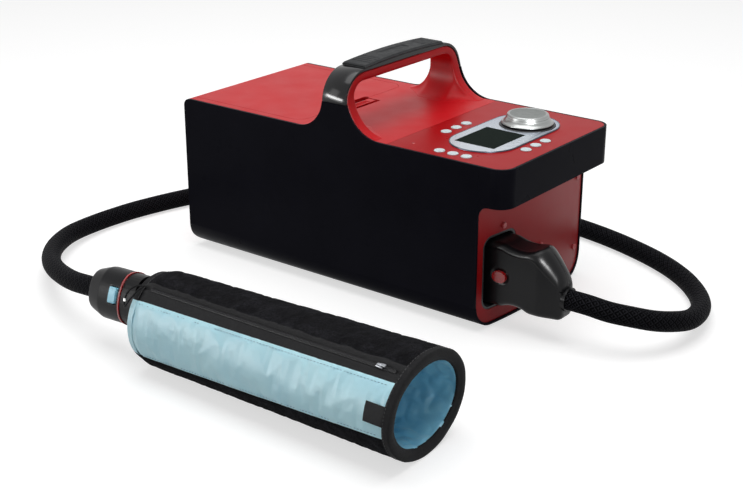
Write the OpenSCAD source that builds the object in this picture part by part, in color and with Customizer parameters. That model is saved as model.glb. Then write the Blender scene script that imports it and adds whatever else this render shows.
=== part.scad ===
// Hot and cold therapy machine with its hose and therapy sleeve.
// Frame: origin on the table under the middle of the machine, +X to the
// control end, -Y to the side that faces the viewer, +Z up. Millimetres.

/* [Machine body] */
// Length from the rear wall to the front of the brow
machine_l = 413; // [400:1:430]
// Width over the two side panels
machine_w = 200; // [196:1:212]
// Height of the flat deck above the table
deck_z = 171; // [166:1:180]
// Height of the rubber foot ring
foot_h = 2.5; // [2:0.5:5]
// Wall of the black outer shell
shell_t = 2.5; // [2:0.1:3]
// Wall of the red inner mouldings
red_t = 3; // [2.5:0.1:3.5]
// Radius of the long bottom edges
bottom_r = 24; // [16:1:27]
// Radius of the two upright corners of the brow
brow_r = 17; // [12:1:22]
// Height of the brow band
brow_h = 39; // [34:1:42]
// How far the brow stands out over the front wall
brow_overhang = 30; // [24:1:34]
// Radius of the rear upper corner, which is also the lid's barrel
barrel_r = 8; // [7:0.5:9]
// How far the red end walls sit inside the shell's edge
wall_inset = 1.5; // [1:0.5:3]
// How far the front wall bulges out at its middle
bulge = 9; // [4:1:12]

/* [Handle] */
// Rear face of the handle, along the machine
handle_x0 = -12; // [-16:1:-8]
// Front face of the handle, along the machine
handle_x1 = 17.5; // [14:0.5:22]
// Top of the black handle cover at its shoulders
handle_top = 232; // [229:0.5:240]
// How far the cover rises between its shoulders
crown_h = 2.5; // [1.5:0.5:4]
// Height of the seam between side panel and handle cover
seam_z = 201; // [198:1:205]
// Radius behind each leg
rear_fillet = 33; // [28:1:36]
// Radius in front of each leg
front_fillet = 41; // [36:1:44]
// Outer corner radius of the arch
arch_r = 32; // [26:1:34]
// Wall of the black cover beside the legs
cover_t = 2.5; // [2:0.1:3]
// Wall of the black cover over the grip
cover_top_t = 3; // [2.5:0.1:4]
// Thickness of the arch at the grip, without cover
grip_h = 9; // [8:0.5:12]
// Thickness of each leg, without cover
leg_t = 13; // [11:0.5:15]
// Corner radius of the finger opening
finger_r = 14; // [10:1:16]
// How far the legs blend into the deck
blend_w = 26; // [18:1:30]
// Length of the rubber pad
pad_l = 134; // [110:1:135]
// Thickness of the rubber pad
pad_t = 2.8; // [2:0.1:4]

/* [Control deck] */
// Rear edge of the control panel
panel_x = 67; // [64:1:70]
// Thickness of the membrane panel
membrane_t = 0.6; // [0.4:0.1:0.8]
// Middle of the pill-shaped bezel, along the machine
bezel_x = 139; // [137:1:141]
// Width of the bezel
bezel_w = 70; // [68:1:72]
// Near end of the bezel
bezel_y0 = -68; // [-70:1:-66]
// Far end of the bezel
bezel_y1 = 75; // [74:1:78]
// Thickness of the bezel
bezel_t = 1.2; // [0.8:0.1:1.6]
// Length of the display window, along the machine
lcd_l = 46; // [42:1:48]
// Width of the display window, across the machine
lcd_w = 58; // [54:1:58]
// Middle of the display window, across the machine
lcd_y = -21; // [-22:1:-20]
// Diameter of a button
button_d = 10.8; // [9:0.2:12]
// How far a button stands out
button_out = 0.9; // [0.8:0.1:1.2]
// Press travel of a button
button_travel = 0.6; // [0.4:0.1:0.8]
// Diameter of the knob's skirt
knob_d = 53; // [50:0.5:54]
// Diameter of the knob's top
knob_top_d = 41; // [38:0.5:44]
// Height of the knob
knob_h = 10; // [9:0.5:13]
// Middle of the knob, across the machine
knob_y = 40; // [39:0.5:41]
// Press travel of the knob
knob_travel = 1; // [0.6:0.1:1]
// Diameter of the encoder shaft
shaft_d = 6; // [5:0.1:6.4]

/* [Lid and reservoir] */
// Front edge of the lid
lid_x1 = -50; // [-54:1:-50]
// Half the lid's width
lid_y = 88; // [84:1:89]
// Thickness of the lid skin
lid_t = 3.5; // [3:0.1:4]
// Corner radius at the lid's front
lid_r = 14; // [10:1:18]
// Gap round the lid
lid_gap = 0.5; // [0.4:0.1:0.8]
// Diameter of the hinge pin
pin_d = 4; // [3:0.1:5]
// Depth of the insulated lid liner
liner_h = 12; // [8:1:14]
// Wall of the reservoir tub
tub_t = 3; // [2.5:0.1:3.5]
// Wall of the insulation jacket
foam_t = 6; // [4:0.5:7]
// Height of the tub's floor above the table
tub_z = 20; // [19:1:26]
// Width of the latch tab
latch_w = 44; // [36:1:50]
// Length of the latch tab
latch_l = 10; // [8:0.5:11]
// Depth of the finger notch in the lid's front edge
notch_d = 5; // [4:0.5:6]

/* [Hose socket and plug] */
// Width of the socket pocket
pocket_w = 50; // [48:1:52]
// Middle of the connector, across the machine
port_y = -62; // [-64:0.5:-61]
// Bottom of the pocket
pocket_z0 = 19; // [18:1:22]
// Height of the pocket
pocket_h = 77; // [75:1:80]
// Corner radius of the pocket
pocket_r = 12; // [9:1:14]
// Depth of the pocket
pocket_d = 24; // [22:1:28]
// Width of the machine connector
plug_w = 36; // [34:1:38]
// Tip of the machine connector
plug_x1 = 256; // [252:1:256]
// Diameter of a water nozzle
nozzle_d = 10; // [8:0.2:11]
// Diameter of the air nozzle
air_d = 7; // [5:0.2:7.4]
// Spacing of the two water nozzles
nozzle_pitch = 34; // [32:1:36]

/* [Hose] */
// Diameter of the braided hose
hose_d = 20; // [18:0.5:20]
// Diameter of the collar where the hose enters a connector
collar_d = 24; // [23:0.5:25]
// How far a collar stands out
collar_out = 3; // [2:0.5:5]

/* [Sleeve] */
// Length of the sleeve
sleeve_l = 298; // [280:1:310]
// Half width at the hose end
sleeve_a0 = 42; // [41:0.5:45]
// Half width at the open end
sleeve_a1 = 56; // [52:0.5:58]
// Half height of the tube
sleeve_b = 44.5; // [43:0.5:46]
// Thickness of the outer cover
cover_sheet = 2.6; // [2:0.1:3]
// Thickness of the inner bladder
bladder_t = 4.4; // [3:0.1:4.8]
// Width of the edge binding
binding_w = 9; // [7:0.5:12]
// Thickness of the edge binding over the cover
binding_t = 1; // [0.8:0.1:1.4]
// Half height of the sleeve connector's oval
oval_b = 25; // [24:0.5:25]
// Half width of the sleeve connector's oval
oval_a = 17; // [16.5:0.5:18]
// Straight length of the sleeve connector
oval_l = 33; // [30:1:36]
// Length of its tapered tail
tail_l = 19; // [18:1:19]
// Visible length of the sleeve's port
port_l = 20; // [18:1:21]

/* [Hidden] */
$fn = 64;

cut = 1;              // how far a cutting shape runs past a face
fit = 0.2;            // gap between mouldings that fit into each other
run = 0.03;           // radial gap of a shaft or nozzle in its bore
seat = 0.3;           // gap between pieces that meet and part
black = [0.09, 0.09, 0.11];
red = [0.72, 0.12, 0.16];

// --- places that follow from the driving sizes
x1 = machine_l / 2;                   // front of the brow
x0 = -x1;                             // rear end
y1 = machine_w / 2;                   // outer face of a side panel
wall_x = x1 - brow_overhang;          // front edge of the side panels
brow_z = deck_z - brow_h;             // underside of the brow
shell_z = foot_h;                     // underside of the shell
in_y = y1 - shell_t - fit;            // side of the red mouldings
in_z = shell_z + shell_t + fit;       // lowest line of the red mouldings
bulge_r = (pow(y1, 2) + pow(bulge, 2)) / (2 * bulge);
deck_t = 3.5;                         // thickness of the deck plate
deck_under = deck_z - deck_t;
flange_y = y1 - 30;                   // inner edge of the turned-in flange
front_face = wall_x - wall_inset;     // red front wall, where it leaves the shell
rear_face = x0 + wall_inset;          // outer face of the red rear wall

// --- shared outline helpers
// the scrap between a square corner at [x, y] and the arc that rounds it
module corner(x, y, r, dx, dy) difference() {
    translate([x + min(dx, 0) * r, y + min(dy, 0) * r]) square(r);
    translate([x + dx * r, y + dy * r]) circle(r);
}
module box_2d(xa, xb, ya, yb) translate([xa, ya]) square([xb - xa, yb - ya]);
module round_box_2d(xa, xb, ya, yb, r) difference() {
    box_2d(xa, xb, ya, yb);
    corner(xa, ya, r, 1, 1);
    corner(xb, ya, r, -1, 1);
    corner(xa, yb, r, 1, -1);
    corner(xb, yb, r, -1, -1);
}
module along_x(xa, xb) translate([xa, 0, 0]) rotate([90, 0, 90])
    linear_extrude(xb - xa) children();
module along_y(ya, yb) translate([0, yb, 0]) rotate([90, 0, 0])
    linear_extrude(yb - ya) children();
module along_z(za, zb) translate([0, 0, za]) linear_extrude(zb - za) children();
module box(xa, xb, ya, yb, za, zb) along_z(za, zb) box_2d(xa, xb, ya, yb);
module rod_x(xa, xb, y, z, d) along_x(xa, xb) translate([y, z]) circle(d = d);
module rod_z(za, zb, x, y, d) along_z(za, zb) translate([x, y]) circle(d = d);

// plan of the body with its bulging front, and that front's place at y
module front_plan_2d(inset) intersection() {
    box_2d(x0, x1, -y1, y1);
    translate([wall_x + bulge - bulge_r, 0]) circle(bulge_r - inset, $fn = 720);
}
function front_x(y, inset) = wall_x + bulge - bulge_r + sqrt(pow(bulge_r - inset, 2) - pow(y, 2));

// --- outer shell
// fillets that a leg of the handle throws on to the deck, seen from the side
module leg_2d() {
    box_2d(handle_x0, handle_x1, deck_z, handle_top + crown_h + 5);
    corner(handle_x0, deck_z, rear_fillet, -1, 1);
    corner(handle_x1, deck_z, front_fillet, 1, 1);
}
mouth_r = 12;         // corner where the panel meets the brow's underside
band_z = shell_z + bottom_r - 0.6;    // below this the panels follow the bulging front
heel_r = 12;          // rear lower corner of the side panel
module side_outline() {
    difference() {
        union() {
            box_2d(x0, wall_x, shell_z, deck_z);
            box_2d(x0, wall_x + bulge, shell_z, band_z);
        }
        corner(x0, shell_z, heel_r, 1, 1);
        corner(x0, deck_z, barrel_r, 1, -1);
    }
    corner(wall_x, brow_z, mouth_r, 1, -1);
    intersection() {
        leg_2d();
        box_2d(x0, x1, deck_z, seam_z);
    }
}
module panel_section() difference() {
    box_2d(-y1, -flange_y, shell_z, seam_z);
    corner(-y1, shell_z, bottom_r, 1, 1);
    difference() {
        box_2d(-y1 + shell_t, -flange_y + cut, shell_z + shell_t, seam_z + cut);
        corner(-y1 + shell_t, shell_z + shell_t, bottom_r - shell_t, 1, 1);
    }
}
module near_panel() intersection() {
    along_y(-y1, -flange_y) side_outline();
    along_x(x0, x1) panel_section();
    union() {
        along_z(shell_z, band_z) front_plan_2d(0);
        box(x0, x1, -y1, y1, band_z, seam_z);
    }
}
module left_side_panel() color(black) near_panel();
module right_side_panel() color(black) mirror([0, 1, 0]) near_panel();

module brow_2d(inset) difference() {
    box_2d(wall_x, x1 - inset, -y1 + inset, y1 - inset);
    corner(x1 - inset, -y1 + inset, brow_r - inset, -1, 1);
    corner(x1 - inset, y1 - inset, brow_r - inset, -1, -1);
}
module front_brow() color(black) {
    along_z(brow_z, deck_z) difference() {
        brow_2d(0);
        brow_2d(shell_t);
        box_2d(wall_x - cut, wall_x + 4, -y1 + shell_t, y1 - shell_t);
    }
    along_z(brow_z, brow_z + shell_t) {
        brow_2d(0);
        box_2d(wall_x - floor_lap, wall_x + cut, -in_y, in_y);
    }
}
floor_lap = 8;        // how far the brow's floor reaches in over the front wall

pan_t = shell_t;
lip_w = 6;            // how far the pan laps over the panels' flanges
post_z = shell_z + pan_t;
module pan_profile_2d() difference() {
    box_2d(x0, x1, shell_z, shell_z + heel_r);
    corner(x0, shell_z, heel_r, 1, 1);
    difference() {
        box_2d(x0 + pan_t, x1 + cut, shell_z + pan_t, shell_z + heel_r + cut);
        corner(x0 + pan_t, shell_z + pan_t, heel_r - pan_t, 1, 1);
    }
}
module base_pan() color(black) {
    intersection() {
        along_y(-flange_y + fit, flange_y - fit) pan_profile_2d();
        along_z(shell_z, shell_z + heel_r) front_plan_2d(0);
    }
    for (s = [-1, 1]) {
        ya = s > 0 ? flange_y - 4 : -flange_y - lip_w;
        box(x0 + heel_r + 8, front_face - red_t - 8, ya, ya + 4 + lip_w, post_z + 0.1, post_z + 2);
        box(x0 + heel_r + 8, front_face - red_t - 8, s * (flange_y - 2.2) - 1.8,
            s * (flange_y - 2.2) + 1.8, post_z - cut, post_z + 2);
    }
    for (x = [pump_x0 + 14, pump_x0 + pump_l - 10], y = [-16, 16])
        rod_z(post_z, pump_z - pump_r - 2, x, pump_y + y, 8);
    for (x = [-30, 30], y = [34, 66]) rod_z(post_z, comp_z0, x, y, 8);
    for (x = [manifold_x0 + 6, manifold_x1 - 6], y = [-11, 11])
        rod_z(post_z, manifold_z0, x, port_y + y, 7);
    for (x = [60, 140], y = [16, 74]) rod_z(post_z, board_z, x, y, 6);
    for (x = [tub_x0 + 20, tub_x1 - 20], y = [-40, 40])
        rod_z(post_z, tub_z - foam_t - seat, x, y, 16);
}
ring_w = 14;
ring_x0 = x0 + heel_r + 12;
ring_x1 = wall_x - 20;
module foot_ring() color([0.05, 0.05, 0.05]) along_z(0, foot_h) difference() {
    round_box_2d(ring_x0, ring_x1, -flange_y + 6, flange_y - 6, 20);
    round_box_2d(ring_x0 + ring_w, ring_x1 - ring_w,
        -flange_y + 6 + ring_w, flange_y - 6 - ring_w, 8);
}

// --- red deck
pin_x = x0 + barrel_r;                // hinge pin, middle of the barrel
pin_z = deck_z - barrel_r;
deck_x1 = x1 - shell_t - fit;
curb_x = lid_x1 + 3;                  // curb that stands on the reservoir's rim
curb_t = 3;
latch_travel = 5;
latch_x0 = lid_x1 + 2;                // pocket of the latch
latch_x1 = latch_x0 + seat + latch_l + latch_travel + seat;
latch_floor = deck_z - 2.6;
stem_x = curb_x + curb_t + 0.6;       // stem that guides the latch in its slot
stem_l = 5;
stem_w = 16;
skirt_h = 16;
module deck_2d(xa, xb) difference() {
    box_2d(xa, xb, -in_y, in_y);
    if (xb > wall_x) {
        corner(xb, -in_y, brow_r - shell_t - fit, -1, 1);
        corner(xb, in_y, brow_r - shell_t - fit, -1, -1);
    }
}
module lid_opening_2d(gap) difference() {
    box_2d(x0 - cut, lid_x1 + gap, -lid_y - gap, lid_y + gap);
    corner(lid_x1 + gap, -lid_y - gap, lid_r + gap, -1, 1);
    corner(lid_x1 + gap, lid_y + gap, lid_r + gap, -1, -1);
}
module pill_2d(w, ya, yb) translate([bezel_x, 0]) {
    box_2d(-w / 2, w / 2, ya + w / 2, yb - w / 2);
    translate([0, ya + w / 2]) circle(d = w);
    translate([0, yb - w / 2]) circle(d = w);
}
// rows of buttons: behind the bezel, beside it and in front of it
button_rows = [[89.3, -28, 0, 17.8], [120, -83, 15.5, 0], [184, -30, 0, 17.8]];
function button_pos(i) = let (row = button_rows[floor(i / 3)], k = i % 3)
    [row[0] + k * row[2], row[1] + k * row[3]];
knob_x = bezel_x + 3;
module button_holes_2d() for (i = [0:8]) translate(button_pos(i)) circle(d = button_d + 0.6);
module lcd_2d(gap) translate([bezel_x - 2, lcd_y])
    square([lcd_l + 2 * gap, lcd_w + 2 * gap], center = true);
post_d = 8;
board_posts = [[82, -80], [82, 80], [192, -80], [192, 80]];
board_top = deck_z - 13.4;            // upper face of the control board
module deck_housing() color(red) {
    difference() {
        union() {
            along_z(deck_under, deck_z) deck_2d(pin_x + barrel_r + 1, panel_x);
            along_z(deck_under, deck_z - membrane_t) deck_2d(panel_x, deck_x1);
        }
        along_z(deck_under - cut, deck_z + cut) {
            lid_opening_2d(lid_gap);
            button_holes_2d();
            lcd_2d(0.5);
            translate([knob_x, knob_y]) circle(d = 16);
        }
        box(lid_x1 - cut, latch_x1, -latch_w / 2 - 1, latch_w / 2 + 1, latch_floor, deck_z + cut);
        box(stem_x - seat, stem_x + stem_l + latch_travel + seat, -stem_w / 2 - seat,
            stem_w / 2 + seat, deck_under - cut, deck_z);
    }
    for (s = [-1, 1]) {
        ya = s > 0 ? in_y - 2 : -in_y;
        box(lid_x1 + 6, front_face - red_t - seat, ya, ya + 2, deck_under - skirt_h, deck_under);
    }
    for (s = [-1, 1]) hinge_cheek(s);
    for (p = board_posts) rod_z(board_top, deck_under, p[0], p[1], post_d);
    along_z(rim_z, deck_under) difference() {
        box_2d(pin_x + barrel_r + 1, curb_x + curb_t, -rim_y, rim_y);
        box_2d(x0, curb_x, -lid_y - 1, lid_y + 1);
    }
}
module hinge_cheek(s) difference() {
    ya = s > 0 ? lid_y + lid_gap : -in_y;
    along_y(ya, ya + in_y - lid_y - lid_gap) difference() {
        box_2d(x0, pin_x + barrel_r + 1, pin_z - barrel_r, deck_z);
        corner(x0, deck_z, barrel_r, 1, -1);
    }
    along_y(-y1, y1) translate([pin_x, pin_z]) circle(d = pin_d + 2 * run);
}

// --- handle
module arch_2d(grow) {
    side = y1 - cover_t - fit + grow;
    top = core_top + grow;
    difference() {
        box_2d(-side, side, deck_z, top);
        corner(-side, top, arch_r - cover_t + grow, 1, -1);
        corner(side, top, arch_r - cover_t + grow, -1, -1);
    }
}
core_top = handle_top - cover_top_t - fit;
finger_y = in_y - leg_t;              // inner face of each leg
finger_z = core_top - grip_h;         // top of the finger opening
module finger_2d() difference() {
    box_2d(-finger_y, finger_y, deck_z - cut, finger_z);
    corner(-finger_y, finger_z, finger_r, 1, -1);
    corner(finger_y, finger_z, finger_r, -1, -1);
}
module handle_core() color(red) {
    difference() {
        intersection() {
            along_x(x0, x1) arch_2d(0);
            along_y(-y1, y1) leg_2d();
        }
        along_x(x0 - cut, x1 + cut) finger_2d();
    }
    leg_blend(1);
    leg_blend(-1);
}
// height of the leg's side profile over the deck at x, up to the blend's own
function leg_rise(x) = let (
    back = max(0, x - (handle_x0 - rear_fillet)),
    front = max(0, handle_x1 + front_fillet - x),
    rise = x < handle_x0 ? rear_fillet - sqrt(max(0, pow(rear_fillet, 2) - pow(back, 2)))
        : x > handle_x1 ? front_fillet - sqrt(max(0, pow(front_fillet, 2) - pow(front, 2)))
        : blend_w)
    max(0.2, min(blend_w, rise) - 0.4);
blend_n = 26;         // slices of the blend along the machine
blend_m = 8;          // points of its hollow curve
blend_root = 2;       // how deep it reaches into the leg
blend_x0 = handle_x0 - rear_fillet + 6;
blend_x1 = handle_x1 + front_fillet - 6.5;
function blend_point(i, j, s) = let (
    x = blend_x0 + (blend_x1 - blend_x0) * i / blend_n,
    rise = leg_rise(x),
    w = blend_w * sqrt(rise / blend_w),
    a = 90 * j / blend_m)
    [x, s * (finger_y - w * (1 - cos(a))), deck_z + max(0.1, rise * (1 - sin(a)))];
module leg_blend(s) {
    row = blend_m + 5;
    points = [for (i = [0:blend_n]) each concat(
        [for (j = [0:blend_m]) blend_point(i, j, s)],
        [let (p = blend_point(i, blend_m, s)) [p[0], p[1], deck_z],
         let (p = blend_point(i, 0, s)) [p[0], p[1], deck_z],
         let (p = blend_point(i, 0, s)) [p[0], p[1] + s * blend_root, deck_z],
         let (p = blend_point(i, 0, s))
            [p[0], p[1] + s * blend_root, deck_z + 0.6 * (p[2] - deck_z)]])];
    sides = [for (i = [0:blend_n - 1], j = [0:row - 1]) let (
        a = i * row + j, b = i * row + (j + 1) % row, c = a + row, d = b + row)
        each [[a, b, d], [a, d, c]]];
    // each end in two parts, outside and inside the leg
    cap = [[for (j = [0:row - 3]) j], [0, row - 3, row - 2, row - 1]];
    ends = [for (c = cap) each [[for (k = [len(c) - 1:-1:0]) c[k]],
        [for (j = c) blend_n * row + j]]];
    faces = concat(sides, ends);
    polyhedron(points, s > 0 ? [for (f = faces) [for (k = [len(f) - 1:-1:0]) f[k]]] : faces);
}
crown_half = y1 - arch_r;             // the shoulders, either side of the middle
crown_r = (pow(crown_half, 2) + pow(crown_h, 2)) / (2 * crown_h);
crown_z = handle_top + crown_h - crown_r;
module handle_cover() color(black) intersection() {
    along_x(x0, x1) difference() {
        union() {
            difference() {
                box_2d(-y1, y1, seam_z + seat, handle_top);
                corner(-y1, handle_top, arch_r, 1, -1);
                corner(y1, handle_top, arch_r, -1, -1);
            }
            intersection() {
                box_2d(-crown_half, crown_half, handle_top - 1, handle_top + crown_h + 1);
                translate([0, crown_z]) circle(crown_r, $fn = 720);
            }
        }
        arch_2d(fit);
    }
    along_y(-y1, y1) leg_2d();
}
pad_lap = 0.6;        // how far the pad stands past the cover's edges
pad_angle = 2 * asin(pad_l / 2 / crown_r);
module grip_pad() color([0.13, 0.13, 0.14]) translate([0, 0, crown_z]) rotate([0, -90, 0])
    rotate([0, 0, -pad_angle / 2]) rotate_extrude(angle = pad_angle, $fn = 1440) difference() {
        box_2d(crown_r + 0.05, crown_r + pad_t, -handle_x1 - pad_lap, -handle_x0 + pad_lap);
        corner(crown_r + pad_t, -handle_x1 - pad_lap, 2, -1, 1);
        corner(crown_r + pad_t, -handle_x0 + pad_lap, 2, -1, -1);
    }

// --- end walls
module end_wall_2d(za, zb) difference() {
    box_2d(-in_y, in_y, za, zb);
    corner(-in_y, za, bottom_r - shell_t - fit, 1, 1);
    corner(in_y, za, bottom_r - shell_t - fit, -1, 1);
}
pocket_y0 = port_y - pocket_w / 2 - 2;
module pocket_2d(grow) round_box_2d(pocket_y0 - grow, pocket_y0 + pocket_w + grow,
    pocket_z0 - grow, pocket_z0 + pocket_h + grow, pocket_r + grow);
module front_wall() color([0.55, 0.07, 0.1]) intersection() {
    along_x(front_face - red_t - 4, x1) difference() {
        end_wall_2d(in_z, brow_z - fit);
        pocket_2d(0);
        for (p = front_screws) translate(p) circle(d = screw_d);
    }
    along_z(0, deck_z) difference() {
        front_plan_2d(wall_inset);
        front_plan_2d(wall_inset + red_t);
    }
}
inlet_y = 58;
inlet_z = 38;
inlet_d = 18;         // body of the power inlet
inlet_bore_d = 12.2;  // takes the power supply's round plug
inlet_depth = 10;
module rear_wall() color([0.55, 0.07, 0.1])
    along_x(rear_face, rear_face + red_t) difference() {
        end_wall_2d(shell_z + heel_r + fit, pin_z - barrel_r - seat);
        translate([inlet_y, inlet_z]) circle(d = inlet_d + 2 * fit);
        for (p = rear_screws) translate(p) circle(d = screw_d);
    }
screw_d = 4;
screw_head_d = 6;
front_screws = [[port_y + 2, pocket_z0 + pocket_h + 6], [5.5, 62], [84, 112], [84, 34]];
rear_screws = [[-84, 34], [84, 34], [-84, 130], [84, 130]];
module wall_screw(x, p, out) {
    rod_x(min(x, x + out * 1.5), max(x, x + out * 1.5), p[0], p[1], screw_head_d);
    rod_x(min(x, x - out * 10), max(x, x - out * 10), p[0], p[1], screw_d - 0.2);
}
module wall_screws() color([0.6, 0.1, 0.12]) {
    for (p = front_screws)
        wall_screw(front_x(max(0, abs(p[0]) - screw_head_d / 2), wall_inset), p, 1);
    for (p = rear_screws) wall_screw(rear_face, p, -1);
}
module power_inlet() color(black) difference() {
    union() {
        rod_x(rear_face - 1.5, rear_face, inlet_y, inlet_z, inlet_d + 6);
        rod_x(rear_face, rear_face + inlet_depth + 4, inlet_y, inlet_z, inlet_d);
    }
    rod_x(rear_face - 1.5 - cut, rear_face + inlet_depth, inlet_y, inlet_z, inlet_bore_d);
}

// --- hose socket in the front wall
pocket_t = 2.5;
pocket_back = front_face - pocket_d;  // front face of the pocket's back plate
port_z = pocket_z0 + pocket_h / 2;
nozzle_l = 14;
port_end = pocket_back - pocket_t - nozzle_l;
ports = [[port_y, port_z - nozzle_pitch / 2, nozzle_d],
    [port_y, port_z + nozzle_pitch / 2, nozzle_d], [port_y, port_z, air_d]];
module connector_socket() color([0.06, 0.06, 0.07]) {
    intersection() {
        along_x(pocket_back, x1) difference() {
            pocket_2d(-fit);
            pocket_2d(-pocket_t);
        }
        along_z(0, deck_z) front_plan_2d(wall_inset + 0.4);
    }
    difference() {
        union() {
            along_x(pocket_back - pocket_t, pocket_back) pocket_2d(-fit);
            for (p = ports) rod_x(port_end - 3, pocket_back - pocket_t, p[0], p[1], p[2] + 5);
        }
        for (p = ports) rod_x(port_end, pocket_back + cut, p[0], p[1], p[2] + 2 * run);
    }
}

// --- control deck
module control_panel() color([0.62, 0.1, 0.14]) along_z(deck_z - membrane_t, deck_z)
    difference() {
        deck_2d(panel_x + 0.4, deck_x1);
        button_holes_2d();
        lcd_2d(0.5);
        translate([knob_x, knob_y]) circle(d = 16);
    }
module display_bezel() color([0.6, 0.65, 0.7]) along_z(deck_z, deck_z + bezel_t)
    difference() {
        pill_2d(bezel_w, bezel_y0, bezel_y1);
        lcd_2d(0);
        translate([knob_x, knob_y]) circle(d = knob_d + 4.4);
    }
module lcd_window() color([0.1, 0.13, 0.13]) {
    along_z(deck_z - 0.4, deck_z + bezel_t - 0.2) lcd_2d(-fit);
}
module lcd_module() color([0.3, 0.4, 0.35])
    along_z(board_top, deck_z - 0.4) lcd_2d(-1);
module button(i) color([0.82, 0.86, 0.87]) translate(button_pos(i)) rotate_extrude() polygon([
    [0, deck_under - 3.5], [button_d / 2 + 0.9, deck_under - 3.5],
    [button_d / 2 + 0.9, deck_under - 2], [button_d / 2, deck_under - 2],
    [button_d / 2, deck_z + button_out - 0.4], [button_d / 2 - 0.5, deck_z + button_out - 0.05],
    [button_d / 2 - 1, deck_z + button_out], [0, deck_z + button_out]]);
collar_t = 1.8;
module knob_collar() color([0.12, 0.12, 0.15]) along_z(deck_z, deck_z + collar_t)
    translate([knob_x, knob_y]) difference() {
        circle(d = knob_d + 4);
        circle(d = 16);
    }
knob_z = deck_z + collar_t + knob_travel + seat;
module control_knob() color([0.75, 0.74, 0.72]) translate([knob_x, knob_y, knob_z])
    rotate_extrude() polygon(concat(
        [[knob_d / 2 - 2, 0], [knob_d / 2, 0.4], [knob_d / 2, 1.4]],
        [for (k = [1:6]) let (t = k / 6)
            [knob_d / 2 - (knob_d - knob_top_d) / 2 * (1 - cos(90 * t)) * 0.95,
             1.4 + (knob_h - 2.4) * sin(90 * t)]],
        [[knob_top_d / 2 - 0.6, knob_h - 0.3], [knob_top_d / 2 - 1.6, knob_h],
         [knob_top_d / 2 - 3, knob_h - 0.4], [0, knob_h - 0.4]],
        [[0, knob_h - 2.4], [shaft_d / 2 + run, knob_h - 2.4], [shaft_d / 2 + run, 0],
         [shaft_d / 2 + 2.5, 0], [shaft_d / 2 + 2.5, knob_h - 2.6],
         [knob_top_d / 2 - 2, knob_h - 3]]));
shaft_top = knob_z + knob_h - 2.4;
encoder_z = board_top + 7;            // top of the encoder's body
module knob_shaft() color("silver")
    rod_z(board_top + 1.3, shaft_top - 0.1, knob_x, knob_y, shaft_d);
module encoder() color([0.25, 0.25, 0.27]) difference() {
    union() {
        along_z(board_top, encoder_z)
            translate([knob_x, knob_y]) square(14, center = true);
        rod_z(encoder_z, deck_z - 0.2, knob_x, knob_y, shaft_d + 4);
    }
    rod_z(board_top + 0.2, deck_z, knob_x, knob_y, shaft_d + 2 * run);
}
board_t = 1.6;
module control_board() color([0.1, 0.35, 0.2]) {
    box(74, 198, -90, 90, board_top - board_t, board_top);
    for (i = [0:8]) translate(button_pos(i))
        along_z(board_top, deck_under - 3.5 - button_travel - 0.1) circle(d = 6);
}

// --- reservoir
tub_x0 = pin_x + barrel_r + foam_t + 3;
tub_x1 = lid_x1 - 8;
tub_y = lid_y - 8;
rim_z = deck_under - 3.5;             // top of the tub's rim
rim_y = lid_y + 4;                    // half width of the rim
module tub_2d(grow) round_box_2d(tub_x0 - grow, tub_x1 + grow, -tub_y - grow, tub_y + grow,
    16 + grow);
outlet_y = -56;
module reservoir() color([0.9, 0.92, 0.94]) difference() {
    union() {
        along_z(tub_z, rim_z) tub_2d(0);
        along_z(rim_z - 3, rim_z)
            box_2d(pin_x + barrel_r + 2, curb_x + curb_t, -rim_y, rim_y);
        rod_x(tub_x1 - cut, tub_x1 + foam_t + 2, outlet_y, pump_z, 14);
    }
    along_z(tub_z + tub_t, rim_z + cut) tub_2d(-tub_t);
    rod_x(tub_x1 - tub_t - cut, tub_x1 + foam_t + 3, outlet_y, pump_z, 9);
}
module reservoir_insulation() color([0.85, 0.85, 0.8]) difference() {
    along_z(tub_z - foam_t, rim_z - 3 - seat) tub_2d(foam_t);
    along_z(tub_z - seat, rim_z) tub_2d(seat);
    rod_x(tub_x1 - cut, tub_x1 + foam_t + 3, outlet_y, pump_z, 14.6);
}
module reservoir_strainer() color([0.3, 0.3, 0.32]) difference() {
    rod_x(tub_x1 - tub_t - 9, tub_x1 - tub_t - seat, outlet_y, pump_z, 20);
    rod_x(tub_x1 - tub_t - 7, tub_x1 - tub_t, outlet_y, pump_z, 15);
    for (k = [-2:2]) box(tub_x1 - tub_t - 9 - cut, tub_x1 - tub_t - 6,
        outlet_y + k * 3.4 - 0.7, outlet_y + k * 3.4 + 0.7, pump_z - 6, pump_z + 6);
}

// --- lid
barrel_gap = 0.3;
module lid() color(red) difference() {
    union() {
        along_z(deck_z - lid_t, deck_z) difference() {
            lid_opening_2d(0);
            box_2d(x0 - 2 * cut, pin_x, -y1, y1);
            round_box_2d(lid_x1 - notch_d, lid_x1 + notch_d + 5, -latch_w / 2 - 4,
                latch_w / 2 + 4, 3);
        }
        along_y(-lid_y, lid_y) translate([pin_x, pin_z]) circle(barrel_r);
    }
    along_y(-y1, y1) translate([pin_x, pin_z]) circle(d = pin_d + 2 * run);
}
liner_x0 = tub_x0 + tub_t + 2;
liner_x1 = tub_x1 - tub_t - 2.5;
liner_y = tub_y - tub_t - 2;
module lid_liner() color([0.9, 0.9, 0.9])
    along_z(deck_z - lid_t - liner_h, deck_z - lid_t)
        round_box_2d(liner_x0, liner_x1, -liner_y, liner_y, 12);
module lid_gasket() color([0.2, 0.2, 0.2])
    along_z(rim_z + seat, deck_z - lid_t) difference() {
        round_box_2d(tub_x0 - 2, tub_x1 + 3, -tub_y - 3, tub_y + 3, 18);
        round_box_2d(liner_x0 - fit, liner_x1 + fit, -liner_y - fit, liner_y + fit, 12);
    }
module lid_hinge_pin() color("silver")
    along_y(-in_y + 0.5, in_y - 0.5) translate([pin_x, pin_z]) circle(d = pin_d);
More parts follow.
